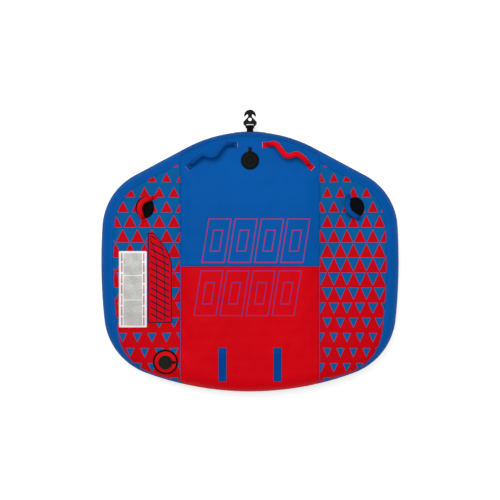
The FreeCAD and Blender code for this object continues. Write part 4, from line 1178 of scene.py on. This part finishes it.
def make_handle(name, route, mirror, material, webbing_material, thread):
    """Padded sleeve over a webbing core, closed by end bands, with webbing ends sewn flat on the deck."""
    body = f"{name}_handle"
    radius = GRIP_RADII[name]
    path = even(rounded(handle_points(name, route, mirror), 1.0, 12), 0.0035)
    length = np.linspace(0, 1, len(path))
    # The sleeve is pulled in at its ends and swells and creases along its length.
    ends = 0.86 + 0.14 * ease(np.minimum(length, 1 - length) / 0.07)
    crease = (1 + 0.020 * np.sin(length * 61 + 1.3) + 0.016 * np.sin(length * 143)
              + 0.012 * np.sin(length * 29 + 2))
    swell = ends * crease * 0.985
    turn = turns(40)
    section = np.stack([np.cos(turn) * radius, np.sin(turn) * radius * 0.94], 1)
    groove = 1 - 0.07 * np.exp(-(((turn + math.pi / 2 + math.pi) % (2 * math.pi) - math.pi) / 0.16) ** 2)
    section *= groove[:, None]
    _, side, above = frames(path, (0, 0, 1))
    widening = SLEEVE_WIDENING if name.startswith("side") else 0
    wide = swell * (1 + widening * ease(np.minimum(length, 1 - length) / 0.25))
    grid = (path[:, None] + side[:, None] * section[None, :, :1] * wide[:, None, None]
            + above[:, None] * section[None, :, 1:] * swell[:, None, None])
    grip = closed_surface(f"{name}_sleeve", grid, material, body)
    inflate(grip, path, radius)
    dress(grip, f"{name}_grip")
    # Bound ends of the sleeve and the stitch row inside each.
    for end in ("front", "rear"):
        front = end == "front"
        band = path[:CUFF_POINTS] if front else path[-CUFF_POINTS:]
        scale = np.linspace(0.84, 0.97, CUFF_POINTS) if front else np.linspace(0.97, 0.84, CUFF_POINTS)
        dress(swept(f"{name}_cuff_{end}", band, round_section(radius, 28), (0, 0, 1), webbing_material, body,
                    np.stack([scale, scale], 1)))
        at = CUFF_POINTS + 1 if front else -CUFF_POINTS - 2
        spokes = side[at] * np.cos(turn)[:, None] + above[at] * np.sin(turn)[:, None]
        circle = path[at] + spokes * radius * swell[at]
        circle = np.concatenate([circle, circle[:1]])
        out = circle - path[at]
        out = out / np.linalg.norm(out, axis=1, keepdims=True)
        dress(stitches(f"{name}_ring_{end}", circle, out, thread, body, pitch=0.0048, length=0.0034))
        pivot, inner = (path[0], path[3]) if front else (path[-1], path[-4])
        make_sewn_end(name, end, pivot, inner, radius, webbing_material, thread)


def make_sewn_end(name, end, pivot, inner, radius, material, thread):
    """Webbing end: flat on the deck, then up into the sleeve."""
    low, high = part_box(f"{name}_foot_{end}")
    centre = np.array(((low.x + high.x) / 2, (low.y + high.y) / 2))
    away = centre - pivot[:2]
    away /= np.linalg.norm(away)
    side = np.array([-away[1], away[0]])
    width = 2 * radius

    def square(half_length, half_width, signs):
        return [centre + away * a * half_length + side * b * half_width for a, b in signs]

    tip, heel = centre + away * 0.012, centre - away * 0.012
    stretch = np.linspace(0, 1, 9)[:, None]
    flat = tip + (heel - tip) * stretch
    ground, _ = skin(flat[:, 0], flat[:, 1], 0.0012)
    rising = pivot + (inner - pivot) * 0.4
    knee = np.array([*(heel - away * 0.004), DECK + 0.0022])
    path = np.concatenate([ground, [knee], [(knee + rising) / 2 + [0, 0, 0.001]], [rising]])
    path = smooth_path(path, 0.0022)
    section = webbing_section(width, 0.0022, 7)
    rise = np.clip((path[:, 2] - DECK) / (pivot[2] - DECK), 0, 1)
    scale = np.stack([1 - 0.12 * rise, 1 + 1.6 * rise], 1)
    strap = swept(f"{name}_strap_{end}", path, section, (0, 0, 1), material, None, scale)
    dress(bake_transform(strap))
    # Folded reinforcement sewn over the flat end.
    signs = [(-1, -1), (1, -1), (1, 1), (-1, 1)]
    loop = rounded(square(0.0115, width / 2 + 0.001, signs), 0.003, 5, closed=True)
    patch = flat_plate(f"{name}_patch_{end}", [loop], DECK + 0.0024, DECK + 0.0050, 0.0009, material, "hull",
                       tuple(centre))
    dress(patch, f"{name}_foot_{end}")
    top = DECK + 0.0051
    path = np.column_stack([np.array(square(0.0085, width / 2 - 0.002, signs + signs[:1])), np.full(5, top)])
    dress(stitches(f"{name}_patch_stitch_{end}", even(path, 0.0022), (0, 0, 1), thread, pitch=0.0042,
                   length=0.003, radius=0.0005))
    row = np.column_stack([np.array(square(0.0105, width / 2 - 0.001, [(1, -1), (1, 1)])), np.full(2, top)])
    thread = WHITE_THREAD if name.startswith("bow") else thread
    dress(stitches(f"{name}_end_stitch_{end}", row, (0, 0, 1), thread, pitch=0.0040, length=0.0034,
                   radius=0.0008))


PUFF_PRESSURE, PUFF_FRAMES, PUFF_LIMIT = 4, 20, 0.05


def inflate(obj, path, radius):
    """Pad the sleeve by cloth simulation under inner pressure, capped, with its ends held."""
    rest = np.array([v.co for v in obj.data.vertices])
    group = obj.vertex_groups.new(name="held")
    near = np.minimum(np.linalg.norm(rest - path[0], axis=1), np.linalg.norm(rest - path[-1], axis=1))
    for i, gap in enumerate(near):
        if gap < radius * 1.4:
            group.add([i], 1.0, "REPLACE")
    cloth = obj.modifiers.new("puff", "CLOTH")
    cloth.settings.use_pressure = True
    cloth.settings.uniform_pressure_force = PUFF_PRESSURE
    cloth.settings.effector_weights.gravity = 0
    cloth.settings.vertex_group_mass = "held"
    cloth.point_cache.frame_end = PUFF_FRAMES
    scene = bpy.context.scene
    for number in range(1, PUFF_FRAMES + 1):
        scene.frame_set(number)
        bpy.context.view_layer.update()
    evaluated = obj.evaluated_get(bpy.context.evaluated_depsgraph_get())
    moved = np.array([v.co for v in evaluated.data.vertices])
    obj.modifiers.remove(cloth)
    scene.frame_set(1)
    shift = moved - rest
    size = np.linalg.norm(shift, axis=1, keepdims=True)
    limit = radius * PUFF_LIMIT
    rest = rest + shift * np.minimum(1, limit / np.maximum(size, 1e-9))
    obj.data.vertices.foreach_set("co", rest.ravel())
    obj.data.update()


def foot_span(name):
    """Distance between a handle's two pivots: the rear one is as far from its foot as the front one is."""
    joint = JOINTS[f"{name}_swing"]
    start, axis = np.array(joint["pos_m"]), np.array(joint["axis"], float)
    far = np.array([v.co for v in frame["nodes"][f"{name}_grip"].data.vertices])
    bottom = far[far[:, 2] < start[2] + 0.004]
    reach = (bottom - start) @ axis
    return float(reach.max() + reach.min())


GRIP_RADII = {name: (0.015 if name.startswith("bow") else 0.0125) for name in
              ("bow_left", "bow_right", "side_left", "side_right")}
HANDLE_SPANS = {name: foot_span(name) for name in GRIP_RADII}


def make_handles():
    """The two long bow handles and the two short side handles."""
    make_handle("bow_left", BOW_ROUTE, -1, BLUE_GRIP, BLUE_WEBBING, BLUE_WEBBING)
    make_handle("bow_right", BOW_ROUTE, 1, RED_GRIP, RED_WEBBING, RED_WEBBING)
    make_handle("side_left", SIDE_ROUTE, -1, RED_GRIP, RED_WEBBING, RED_THREAD)
    make_handle("side_right", SIDE_ROUTE, -1, BLUE_GRIP, BLUE_WEBBING, BLUE_THREAD)


# ---------------------------------------------------------------- valves

SEAT_GAP = 0.0003                                   # between a socket and its lid or cap
LID_LIP = 0.0015                                    # how far the lid's rim goes past its CAD disc


def make_socket(name, node, centre):
    """Moulded socket sunk through the deck."""
    low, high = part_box(node)
    rim, floor, top = (high.x - low.x) / 2, low.z - DECK, high.z - DECK
    dress(ring(name, [(0.018, floor), (0.024, floor), (0.024, -0.001), (rim, -0.001), (rim, top * 0.6),
                      (rim - 0.002, top), (0.021, top), (0.018, top - 0.002)],
               (centre.x, centre.y, DECK), RUBBER), node)


def make_bow_port():
    """Wide inflation port: socket, flap, and a stepped lid on a tab sewn to the deck."""
    centre = middle_of("bow_port_socket")
    make_socket("port_socket", "bow_port_socket", centre)
    low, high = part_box("bow_port_membrane")
    wall = high.z - low.z
    profile = [(0, 0), (0.0178, 0), (0.0178, wall), (0.010, wall), (0.0085, wall - 0.0006), (0.007, wall),
               (0, wall)]
    flap = lathe("port_membrane", profile, (centre.x, centre.y, low.z), RUBBER)
    dress(flap, "bow_port_membrane")
    low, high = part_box("bow_port_lid")
    radius, seat = (high.x - low.x) / 2 + LID_LIP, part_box("bow_port_socket")[1].z + SEAT_GAP
    wall = high.z - seat
    profile = [(0, low.z - seat), (0.0165, low.z - seat), (0.0173, 0), (radius - 0.003, 0),
               (radius, wall * 0.4), (radius - 0.0022, wall * 0.85), (radius - 0.0062, wall * 0.92),
               (radius - 0.0078, wall * 0.66), (radius - 0.0098, wall * 0.90), (0.022, wall),
               (0.0195, wall * 0.78), (0.017, wall), (0, wall)]
    lid = lathe("port_lid_disc", profile, (centre.x, centre.y, seat), RUBBER, "port_lid", 96, 0.0009)
    dress(lid, "bow_port_lid")
    hinge = JOINTS["port_lid_flip"]["pos_m"]
    tab_half, rim_y, tip_y = 0.0085, centre.y + radius, hinge[1] + 0.001
    loop = rounded([(-0.014, rim_y - 0.006), (0.014, rim_y - 0.006), (tab_half, rim_y + 0.007),
                    (tab_half, tip_y), (-tab_half, tip_y), (-tab_half, rim_y + 0.007)], 0.004, 6, closed=True)
    dress(flat_plate("port_lid_tab", [loop], seat + 0.0004, seat + 0.0028, 0.0008, RUBBER, "port_lid",
                     (0, rim_y)))
    low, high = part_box("bow_port_anchor")
    corners = [(low.x, low.y), (high.x, low.y), (high.x, high.y), (low.x, high.y)]
    loop = rounded(corners, 0.004, 6, closed=True)
    dress(flat_plate("port_anchor", [loop], DECK - 0.0008, high.z, 0.0006, BLUE_WEBBING, "hull",
                     (0, middle_of("bow_port_anchor").y)), "bow_port_anchor")
    row = np.array([(x, high.y - 0.003, high.z) for x in (low.x + 0.003, high.x - 0.003)])
    dress(stitches("port_anchor_stitch", row, (0, 0, 1), BLUE_THREAD, pitch=0.004, length=0.003))


def make_rear_valve():
    """Screw valve: bound collar, vinyl window, socket, fluted cap and its tether ring."""
    centre = middle_of("rear_valve_collar")
    low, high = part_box("rear_valve_collar")
    outer = (high.x - low.x) / 2
    turn = turns(120)

    def circle(reach, lift, angle=turn):
        return skin(centre.x + reach * np.cos(angle), centre.y + reach * np.sin(angle), lift)

    line = rounded([(outer - 0.0102, -0.0025), (outer, -0.0020), (outer, 0.0002), (outer - 0.0015, 0.0020),
                    (outer - 0.0085, 0.0020), (outer - 0.0102, 0.0004)], 0.0012, closed=True)
    sheet = np.array([circle(*spot)[0] for spot in np.concatenate([line, line[:1]])])
    dress(looped("valve_collar", sheet, NEOPRENE), "rear_valve_collar")
    for number, inset in enumerate((0.0025, 0.0078)):
        points, normal = circle(outer - inset, 0.0021, np.linspace(0, 2 * math.pi, 160))
        dress(stitches(f"valve_collar_stitch_{number}", points, normal, BLACK_THREAD, pitch=0.0055,
                       length=0.0038))
    # Vinyl window under the collar, with a welded ring round the socket.
    line = rounded([(0.019, -0.0004), (0.030, -0.0004), (0.0325, 0.0002), (0.035, 0.0002), (0.0375, -0.0004),
                    (0.045, -0.0010), (0.055, -0.0008), (0.0605, -0.0006), (0.064, -0.0016)], 0.002, 4)
    top = [circle(reach, lift)[0] for reach, lift in line]
    under = [circle(reach, lift - 0.0012)[0] for reach, lift in line[::-1]]
    dress(looped("valve_window", np.array(top + under + top[:1]), RED_VINYL), "rear_valve_dish")

    make_socket("valve_socket", "rear_valve_socket", centre)
    low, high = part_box("rear_valve_cap")
    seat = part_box("rear_valve_socket")[1].z + SEAT_GAP
    radius, tall = (high.x - low.x) / 2, high.z - seat
    head, plug = tall - 0.006, low.z - seat
    # Turned cap whose head has grip flutes round it.
    profile = rounded([(0, plug), (0.0160, plug), (0.0176, plug + 0.002), (0.0176, 0), (0.033, 0),
                       (0.033, head), (radius - 0.001, head), (radius, head + 0.001), (radius, head + 0.004),
                       (radius - 0.002, tall), (radius - 0.008, tall), (radius - 0.010, tall - 0.0014),
                       (0.012, tall - 0.0014), (0.010, tall - 0.0004), (0, tall - 0.0004)], 0.0007)
    around = turns(240)
    flute = 1 - 0.016 * (0.5 + 0.5 * np.cos(around * 24)) ** 3
    reach = np.maximum(profile[:, :1], 1e-5)
    outer_share = ease((reach - 0.0335) / 0.003)
    reach = reach * (1 + (flute - 1) * outer_share)
    grid = np.stack([centre.x + reach * np.cos(around), centre.y + reach * np.sin(around),
                     seat + profile[:, 1:] + 0 * around], -1)
    dress(closed_surface("valve_cap", grid, CAP_PLASTIC, "cap"), "rear_valve_cap")
    bar = rounded([(-0.024, -0.0035), (0.024, -0.0035), (0.024, 0.0035), (-0.024, 0.0035)], 0.0034, 8,
                  closed=True)
    bar = bar + np.array([centre.x, centre.y])
    dress(flat_plate("valve_cap_bar", [bar], seat + tall - 0.0020, seat + tall - 0.0001, 0.0006, CAP_PLASTIC,
                     "cap", (centre.x, centre.y)))
    low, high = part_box("rear_valve_tether")
    inner, outer = 0.0333, 0.0373
    half = 0.006
    start = math.asin(half / outer)
    arc = np.linspace(start, 2 * math.pi - start, 80)
    tail = high.x - centre.x
    loop = list(np.stack([outer * np.cos(arc), outer * np.sin(arc)], 1))
    loop += list(rounded([(outer, -half), (tail, -half), (tail, half), (outer, half)], 0.004, 8))
    loop = np.array(loop) + np.array([centre.x, centre.y])
    hole = circle_loop((centre.x, centre.y), inner)
    dress(flat_plate("valve_tether", [loop, hole], low.z, low.z + 0.0024, 0.0005, RUBBER, "cap_ring",
                     (centre.x, centre.y)), "rear_valve_tether")


# ---------------------------------------------------------------- tow point

def on_nose(x, height, out):
    """Point in front of the nose: X, height, and distance out from the cover."""
    x = np.atleast_1d(x)
    run = np.array([HULL.crossing(abs(value), 0, False) if abs(value) > 1e-6 else 0.0 for value in x])
    px, py = HULL.at(run)
    centre_y = NOSE - NOSE_RADIUS
    direction = np.stack([px, py - centre_y], -1) / NOSE_RADIUS
    lean = ((np.abs(height - JOIN) / RISE)) ** POWER
    inset = ROLL * (1 - np.clip(1 - lean, 0, 1) ** (1 / POWER))
    reach = np.broadcast_to(out - inset, px.shape)
    return np.stack([np.sign(x + 1e-15) * (px + direction[:, 0] * reach), py + direction[:, 1] * reach,
                     np.broadcast_to(height, px.shape)], -1)


PATCH_CORNER, PATCH_EDGE, PATCH_WALL = 0.014, 0.003, 0.0024


def make_tow_patch():
    """Webbing patch sewn over the nose, with rounded corners and two stitch rows."""
    low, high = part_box("tow_patch")
    xs, zs = np.linspace(low.x, high.x, 61), np.linspace(low.z, high.z, 31)
    half = (high.z - low.z) / 2
    front, back = [], []
    for z in zs:
        over = max(abs(z - JOIN) - half + PATCH_CORNER, 0)
        width = high.x - PATCH_CORNER + math.sqrt(max(PATCH_CORNER ** 2 - over ** 2, 0))
        line = xs / high.x * width
        edge = min(max(half - abs(z - JOIN), 0), PATCH_EDGE) / PATCH_EDGE
        side = np.clip((width - np.abs(line)) / PATCH_EDGE, 0, 1)
        lift = PATCH_WALL * np.sqrt(1 - (1 - np.minimum(side, edge)) ** 2)
        front.append(on_nose(line, z, 0) + np.array([0, 1, 0]) * lift[:, None])
        back.append(on_nose(line, z, -0.002))
    dress(slab("tow_backing", np.array(front), np.array(back), BLACK_WEBBING), "tow_patch")
    for number, inset in enumerate((0.006, 0.012)):
        a, b = high.x - inset, half - inset
        corners = rounded([(-a, -b), (a, -b), (a, b), (-a, b)], 0.010, 6, closed=True)
        corners = np.concatenate([corners, corners[:1]])
        line = even(np.column_stack([corners, np.zeros(len(corners))]), 0.004)
        path = np.array([on_nose(x, JOIN + z, 0.0026)[0] for x, z, _ in line])
        thread = WHITE_THREAD if number else BLACK_THREAD
        dress(stitches(f"tow_backing_stitch_{number}", path, (0, 1, 0), thread, pitch=0.006))


FOOT_HALF = 0.019                                   # half width of the webbing's sewn feet


def make_tow_strap():
    """Webbing loop from the patch round the connector's bar and back."""
    low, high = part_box("tow_strap")
    bar = JOINTS["tow_connector_tilt"]["pos_m"]
    reach = ((high.z - low.z) / 2 - 0.0013) * 0.93
    turn = np.linspace(math.pi / 2 + 0.10, -math.pi / 2 - 0.10, 24)
    around = np.stack([0 * turn, bar[1] + reach * np.cos(turn), bar[2] + reach * np.sin(turn)], 1)
    root = NOSE + 0.0030
    upper = np.array([[0, root, JOIN + 0.0075], [0, root + 0.009, JOIN + 0.0092]])
    lower = upper[::-1].copy()
    lower[:, 2] = 2 * JOIN - lower[:, 2]
    path = np.concatenate([upper, around, lower])
    path = even(path, 0.002)
    forward = np.gradient(path, axis=0)
    forward /= np.linalg.norm(forward, axis=1, keepdims=True)
    across = np.broadcast_to(np.array([1.0, 0, 0]), path.shape)
    section = webbing_section(high.x - low.x, 0.0024, 7)
    grid = carried(path, across, np.cross(across, forward), section)
    strap = closed_surface("tow_loop", grid, BLACK_WEBBING, None)
    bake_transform(strap)
    dress(strap, "tow_strap")
    for number, sign in enumerate((1, -1)):
        xs = np.linspace(-FOOT_HALF, FOOT_HALF, 15)
        inner = np.array([on_nose(xs, JOIN + sign * (0.0062 + share * 0.028), 0.0026)
                          for share in np.linspace(0, 1, 14)])
        outer = inner.copy()
        outer[..., 1] += 0.0022
        grid = np.concatenate([outer, inner[:, ::-1]], axis=1)
        dress(closed_surface(f"tow_loop_foot_{number}", grid, BLACK_WEBBING))
        # Box and cross stitch over each foot.
        box = np.array([(-FOOT_HALF, JOIN + sign * 0.008), (FOOT_HALF, JOIN + sign * 0.008),
                        (FOOT_HALF, JOIN + sign * 0.034), (-FOOT_HALF, JOIN + sign * 0.034)]) * [0.82, 1]
        middle = box.mean(0)
        box = middle + (box - middle) * [1, 0.72]
        order = box[[0, 1, 2, 3, 0, 2, 1, 3]]
        line = even(np.column_stack([order, np.zeros(len(order))]), 0.003)
        path = np.array([on_nose(x, z, 0.0050)[0] for x, z, _ in line])
        dress(stitches(f"tow_loop_box_{number}", path, (0, 1, 0), BLACK_THREAD, pitch=0.0048, length=0.0036))


CROWN_RADIUS = 0.0345
BAR_RADIUS, BAR_HALF_LENGTH, BAR_REACH = 0.0086, 0.0215, 0.0105
SLOT_HALF, SLOT_NEAR, SLOT_FAR = 0.0205, 0.0092, 0.0170
TOW_HOLE_Y, TOW_HOLE_RADIUS = 0.044, 0.0105


def make_tow_connector():
    """Moulded connector: webbing slot, waist, tow hole, and a round crown with two drooping rope arms."""
    low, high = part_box("tow_connector")
    base = low.y + 0.008
    crown = high.y - base
    side = [(0.0240, -0.0080), (0.0262, 0.0040), (0.0390, 0.0170), (0.0390, 0.0290), (0.0115, 0.0575),
            (0.0115, 0.0740), (0.0190, 0.0730), (0.0262, 0.0640), (0.0300, 0.0600), (0.0345, 0.0640)]
    side += [(CROWN_RADIUS * math.cos(turn), crown - CROWN_RADIUS * (1 - math.sin(turn)))
             for turn in np.radians((12, 27, 42, 57, 72, 84))]
    right = [(x, base + y) for x, y in side]
    outline = rounded(right + [(-x, y) for x, y in right][::-1], 0.0060, 7, closed=True)
    slot = rounded([(-SLOT_HALF, base + SLOT_NEAR), (SLOT_HALF, base + SLOT_NEAR),
                    (SLOT_HALF, base + SLOT_FAR), (-SLOT_HALF, base + SLOT_FAR)], 0.003, 6, closed=True)
    hole = circle_loop((0, base + TOW_HOLE_Y), TOW_HOLE_RADIUS, 40)
    body = flat_plate("tow_hook", [outline, slot, hole], low.z, high.z, 0.0024, MOULDED, "tow_connector",
                      (0, middle_of("tow_connector").y))
    # The crossbar is round, so that it turns inside the webbing.
    axis = Vector((0, base, (low.z + high.z) / 2))
    for vertex in body.data.vertices:
        out = vertex.co - axis
        out.x = 0
        if abs(vertex.co.x) < BAR_HALF_LENGTH and out.y < BAR_REACH and out.length > BAR_RADIUS:
            vertex.co -= out * (1 - BAR_RADIUS / out.length)
    body.data.update()
    dress(body, "tow_connector")
    for number, face in enumerate((low.z, high.z)):
        collar = ring(f"tow_hook_bush_{number}", [(0.0107, -0.0020), (0.0135, -0.0020), (0.0135, 0.0006),
                                                  (0.0125, 0.0010), (0.0107, 0.0010)],
                      (0, base + TOW_HOLE_Y, face), MOULDED, "tow_connector", 48, 0.0005)
        if face == low.z:
            for vertex in collar.data.vertices:
                vertex.co.z = 2 * face - vertex.co.z
            weld(collar)
        dress(collar)


# ---------------------------------------------------------------- zip and drains

TAIL_CENTRE = TAIL_RADIUS - TAIL


def on_tail(angle, height, out):
    """Point on the tail: angle round the tail arc's centre, height, and distance out from the cover."""
    reach = TAIL_RADIUS + out
    angle, height, reach = np.broadcast_arrays(np.asarray(angle, float), height, reach)
    return np.stack([reach * np.sin(angle), TAIL_CENTRE - reach * np.cos(angle), height], -1)


def tail_ribbon(name, half_angle, profile, material, count=160, bevel=0.0004):
    """Bar bent round the tail: profile is a closed loop of (out, height)."""
    line = rounded(profile, bevel, 4, closed=True)
    angle = np.linspace(-half_angle, half_angle, count)
    grid = np.array([on_tail(value, line[:, 1], line[:, 0]) for value in angle])
    return dress(closed_surface(name, grid, material))


def tail_axes(angle):
    """Directions out from the tail and across it, at an angle round its arc."""
    out = np.array([math.sin(angle), -math.cos(angle), 0])
    return out, np.array([math.cos(angle), math.sin(angle), 0])


def make_zip():
    """Zip round the tail: two tapes, separate teeth, a stop at each end, slider and puller."""
    low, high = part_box("zip_tape")
    half = math.asin(high.x / TAIL_RADIUS)
    tall = (high.z - low.z) / 2
    for number, sign in enumerate((1, -1)):
        near, far = JOIN + sign * 0.0022, JOIN + sign * tall
        profile = [(-0.0030, near), (0.0010, near), (0.0012, (near + far) / 2), (0.0010, far), (-0.0040, far)]
        tape = tail_ribbon(f"zip_tape_{number}", half, profile, TAPE)
        if number == 0:
            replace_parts(tape, "zip_tape")
        angle = np.linspace(-half, half, 200)
        path = on_tail(angle, JOIN + sign * (tall - 0.004), 0.0013)
        out = np.stack([np.sin(angle), -np.cos(angle), 0 * angle], 1)
        dress(stitches(f"zip_stitch_{number}", path, out, BLACK_THREAD, pitch=0.006))
    # Interlocking teeth, alternately from the upper and the lower tape.
    reach = math.asin(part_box("zip_coil")[1].x / TAIL_RADIUS)
    pitch = 0.0016 / TAIL_RADIUS
    angles = np.arange(-reach, reach, pitch * 1.6)
    points, faces = [], []
    for number, angle in enumerate(angles):
        sign = 1 if number % 2 else -1
        z_low, z_high = JOIN - sign * 0.0009, JOIN + sign * 0.0033
        base = len(points)
        levels = ((z_low, 0.55, 0.0026), (z_low + sign * 0.0014, 1.0, 0.0030), (z_high, 0.7, 0.0024))
        for z, wide, out in levels:
            for step, depth in ((-1, 0.0), (1, 0.0), (1, 1.0), (-1, 1.0)):
                points.append(on_tail(angle + step * wide * pitch * 0.62, z, 0.0010 + (out - 0.0010) * depth))
        faces += [tuple(base + i for i in face) for face in grid_faces(3, 4, closed=True)]
        faces += [(base + 3, base + 2, base + 1, base), (base + 8, base + 9, base + 10, base + 11)]
    teeth = piece_from("zip_teeth", points, faces, METAL, None, False)
    weld(teeth)
    dress(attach(teeth, "hull"), "zip_coil")
    for hand in ("left", "right"):
        low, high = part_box(f"zip_stop_{hand}")
        angle = math.asin((low.x + high.x) / 2 / TAIL_RADIUS)
        span = 0.003 / TAIL_RADIUS
        line = rounded([(0.0008, JOIN - 0.0035), (0.0032, JOIN - 0.0030), (0.0032, JOIN + 0.0030),
                        (0.0008, JOIN + 0.0035)], 0.0006, 4, closed=True)
        grid = np.array([on_tail(angle + span * share, JOIN + (line[:, 1] - JOIN) * scale, line[:, 0])
                         for share, scale in ((-1, 0.85), (-0.8, 1), (0.8, 1), (1, 0.85))])
        dress(closed_surface(f"zip_end_{hand}", grid, METAL), f"zip_stop_{hand}")
    make_slider()


SLIDER_X, SLIDER_HALF, SLIDER_FLOOR = 0.330, 0.0078, 0.0036


def make_slider():
    """Slider with a tapered body, the bridge over it, and the puller hung from the bridge."""
    angle = math.asin(SLIDER_X / TAIL_RADIUS)
    half = SLIDER_HALF / TAIL_RADIUS
    grid = []
    for share in np.linspace(-1, 1, 15):
        tall = 0.0058 * (1 - 0.32 * abs(share) ** 2.5) * (0.93 if share > 0 else 1.0)
        bulge = 0.0044 - 0.0008 * share ** 2
        line = rounded([(SLIDER_FLOOR, JOIN - tall), (SLIDER_FLOOR + bulge, JOIN - tall * 0.82),
                        (SLIDER_FLOOR + bulge, JOIN + tall * 0.82), (SLIDER_FLOOR, JOIN + tall)], 0.0012, 5,
                       closed=True)
        grid.append(on_tail(angle + half * share, line[:, 1], line[:, 0]))
    dress(closed_surface("zip_slider_body", np.array(grid), METAL, "slider"), "zip_slider")
    # Bridge over the slider that carries the puller's eye.
    bow = np.linspace(-1, 1, 13)
    path = on_tail(angle + half * 0.62 * bow, JOIN, 0.0076 + 0.0028 * (1 - bow ** 2))
    out, across = tail_axes(angle)
    dress(swept("zip_slider_bridge", path, webbing_section(0.0030, 0.0012, 2), out, METAL, "slider"))
    pivot = np.array(JOINTS["puller_swing"]["pos_m"])
    length = pivot[2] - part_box("zip_puller")[0].z
    outline = rounded([(-0.0030, 0.0010), (0.0030, 0.0010), (0.0045, -0.010), (0.0045, -length + 0.002),
                       (0.0025, -length), (-0.0025, -length), (-0.0045, -length + 0.002), (-0.0045, -0.010)],
                      0.0022, 6, closed=True)
    eye = rounded([(-0.0014, -0.0035), (0.0014, -0.0035), (0.0014, -0.0006), (-0.0014, -0.0006)], 0.0008, 4,
                  closed=True)
    hole = circle_loop((0, -length + 0.008), 0.0020, 24)
    plate = flat_plate("zip_puller_tab", [outline, hole, eye], -0.0011, 0.0011, 0.0005, METAL, "puller")
    co = np.array([v.co for v in plate.data.vertices])
    co = pivot + co[:, :1] * across + co[:, 1:2] * np.array([0, 0, 1.0]) + co[:, 2:] * out
    plate.data.vertices.foreach_set("co", co.ravel())
    plate.data.update()
    weld(plate)
    dress(plate, "zip_puller")


def make_drains():
    """Two drain eyelets at the tail, each with a mesh disc inside its ring."""
    for hand in ("left", "right"):
        low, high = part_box(f"drain_eyelet_{hand}")
        x, z = (low.x + high.x) / 2, (low.z + high.z) / 2
        angle = math.asin(x / TAIL_RADIUS)
        out, across = tail_axes(angle)
        spot = on_tail(angle, z, 0.0)
        line = rounded([(0.0080, -0.0030), (0.0095, -0.0030), (0.0095, -0.0010), (0.0140, -0.0008),
                        (0.0138, 0.0008), (0.0110, 0.0022), (0.0088, 0.0016), (0.0080, 0.0004)], 0.0007, 4,
                       closed=True)
        spokes = [across * math.cos(a) + np.array([0, 0, math.sin(a)]) for a in turns(40)]
        grid = [spot + spoke * line[:, :1] + out * line[:, 1:] for spoke in spokes]
        dress(looped(f"drain_ring_{hand}", np.array(grid + grid[:1]), METAL), f"drain_eyelet_{hand}")
        disc = [spot + spoke * 0.0085 - out * 0.0016 for spoke in spokes]
        disc_back = [point - out * 0.001 for point in disc]
        dress(closed_surface(f"drain_mesh_{hand}", np.array([disc, disc_back]), BLACK_WEBBING))


# ---------------------------------------------------------------- camera, lights, floor

LENS, CAMERA_PLACE = 47.95, (0, 0.0632, 4.0)
FLOOR_HALF, FLOOR_Z = 40, -0.001
LIGHTS = (("key", (-0.8, 1.5, 6.0), 3.5, 245), ("fill", (2.5, -1.5, 6.0), 6.0, 61))     # place, size, watts


def make_studio():
    """Camera straight above, two soft lights, an even world and a pale floor."""
    scene = bpy.context.scene
    scene.view_settings.view_transform = "Standard"
    data = bpy.data.cameras.new("camera")
    camera = bpy.data.objects.new("camera", data)
    bpy.context.collection.objects.link(camera)
    data.lens = LENS
    data.clip_end = 50
    camera.location = CAMERA_PLACE
    scene.camera = camera

    floor_paint = Paint("studio_floor", linear(244, 244, 245), 0.9)
    floor_paint.shade(floor_paint.noise(1.5, 2), 0.985, 1.015)
    mesh = bpy.data.meshes.new("floor")
    corners = [(x * FLOOR_HALF, y * FLOOR_HALF, FLOOR_Z) for x, y in ((-1, -1), (1, -1), (1, 1), (-1, 1))]
    mesh.from_pydata(corners, [], [(0, 1, 2, 3)])
    floor = bpy.data.objects.new("floor", mesh)
    mesh.materials.append(floor_paint.finish(Emission_Strength=0.45))
    bpy.context.collection.objects.link(floor)

    world = bpy.data.worlds.new("studio")
    scene.world = world
    world.use_nodes = True
    backdrop = world.node_tree.nodes["Background"]
    backdrop.inputs[0].default_value = (1, 1, 1, 1)
    backdrop.inputs[1].default_value = 0.30
    for name, spot, size, power in LIGHTS:
        light = bpy.data.lights.new(name, "AREA")
        light.size = size
        light.energy = power
        lamp = bpy.data.objects.new(name, light)
        lamp.location = spot
        lamp.visible_camera = False
        lamp.rotation_euler = (Vector((0, 0, 0.15)) - Vector(spot)).to_track_quat("-Z", "Y").to_euler()
        bpy.context.collection.objects.link(lamp)


make_studio()
make_bladder_core()
make_centre_panels()
for wing_sign, wing_hand, wing_material in ((-1, "left", WING_LEFT), (1, "right", WING_RIGHT)):
    make_wing(wing_sign, wing_hand, wing_material)
    make_side_band(wing_sign, wing_hand)
make_underside()
make_seams()
make_trim()
make_knuckle_pads()
make_handles()
make_bow_port()
make_rear_valve()
make_tow_patch()
make_tow_strap()
make_tow_connector()
make_zip()
make_drains()
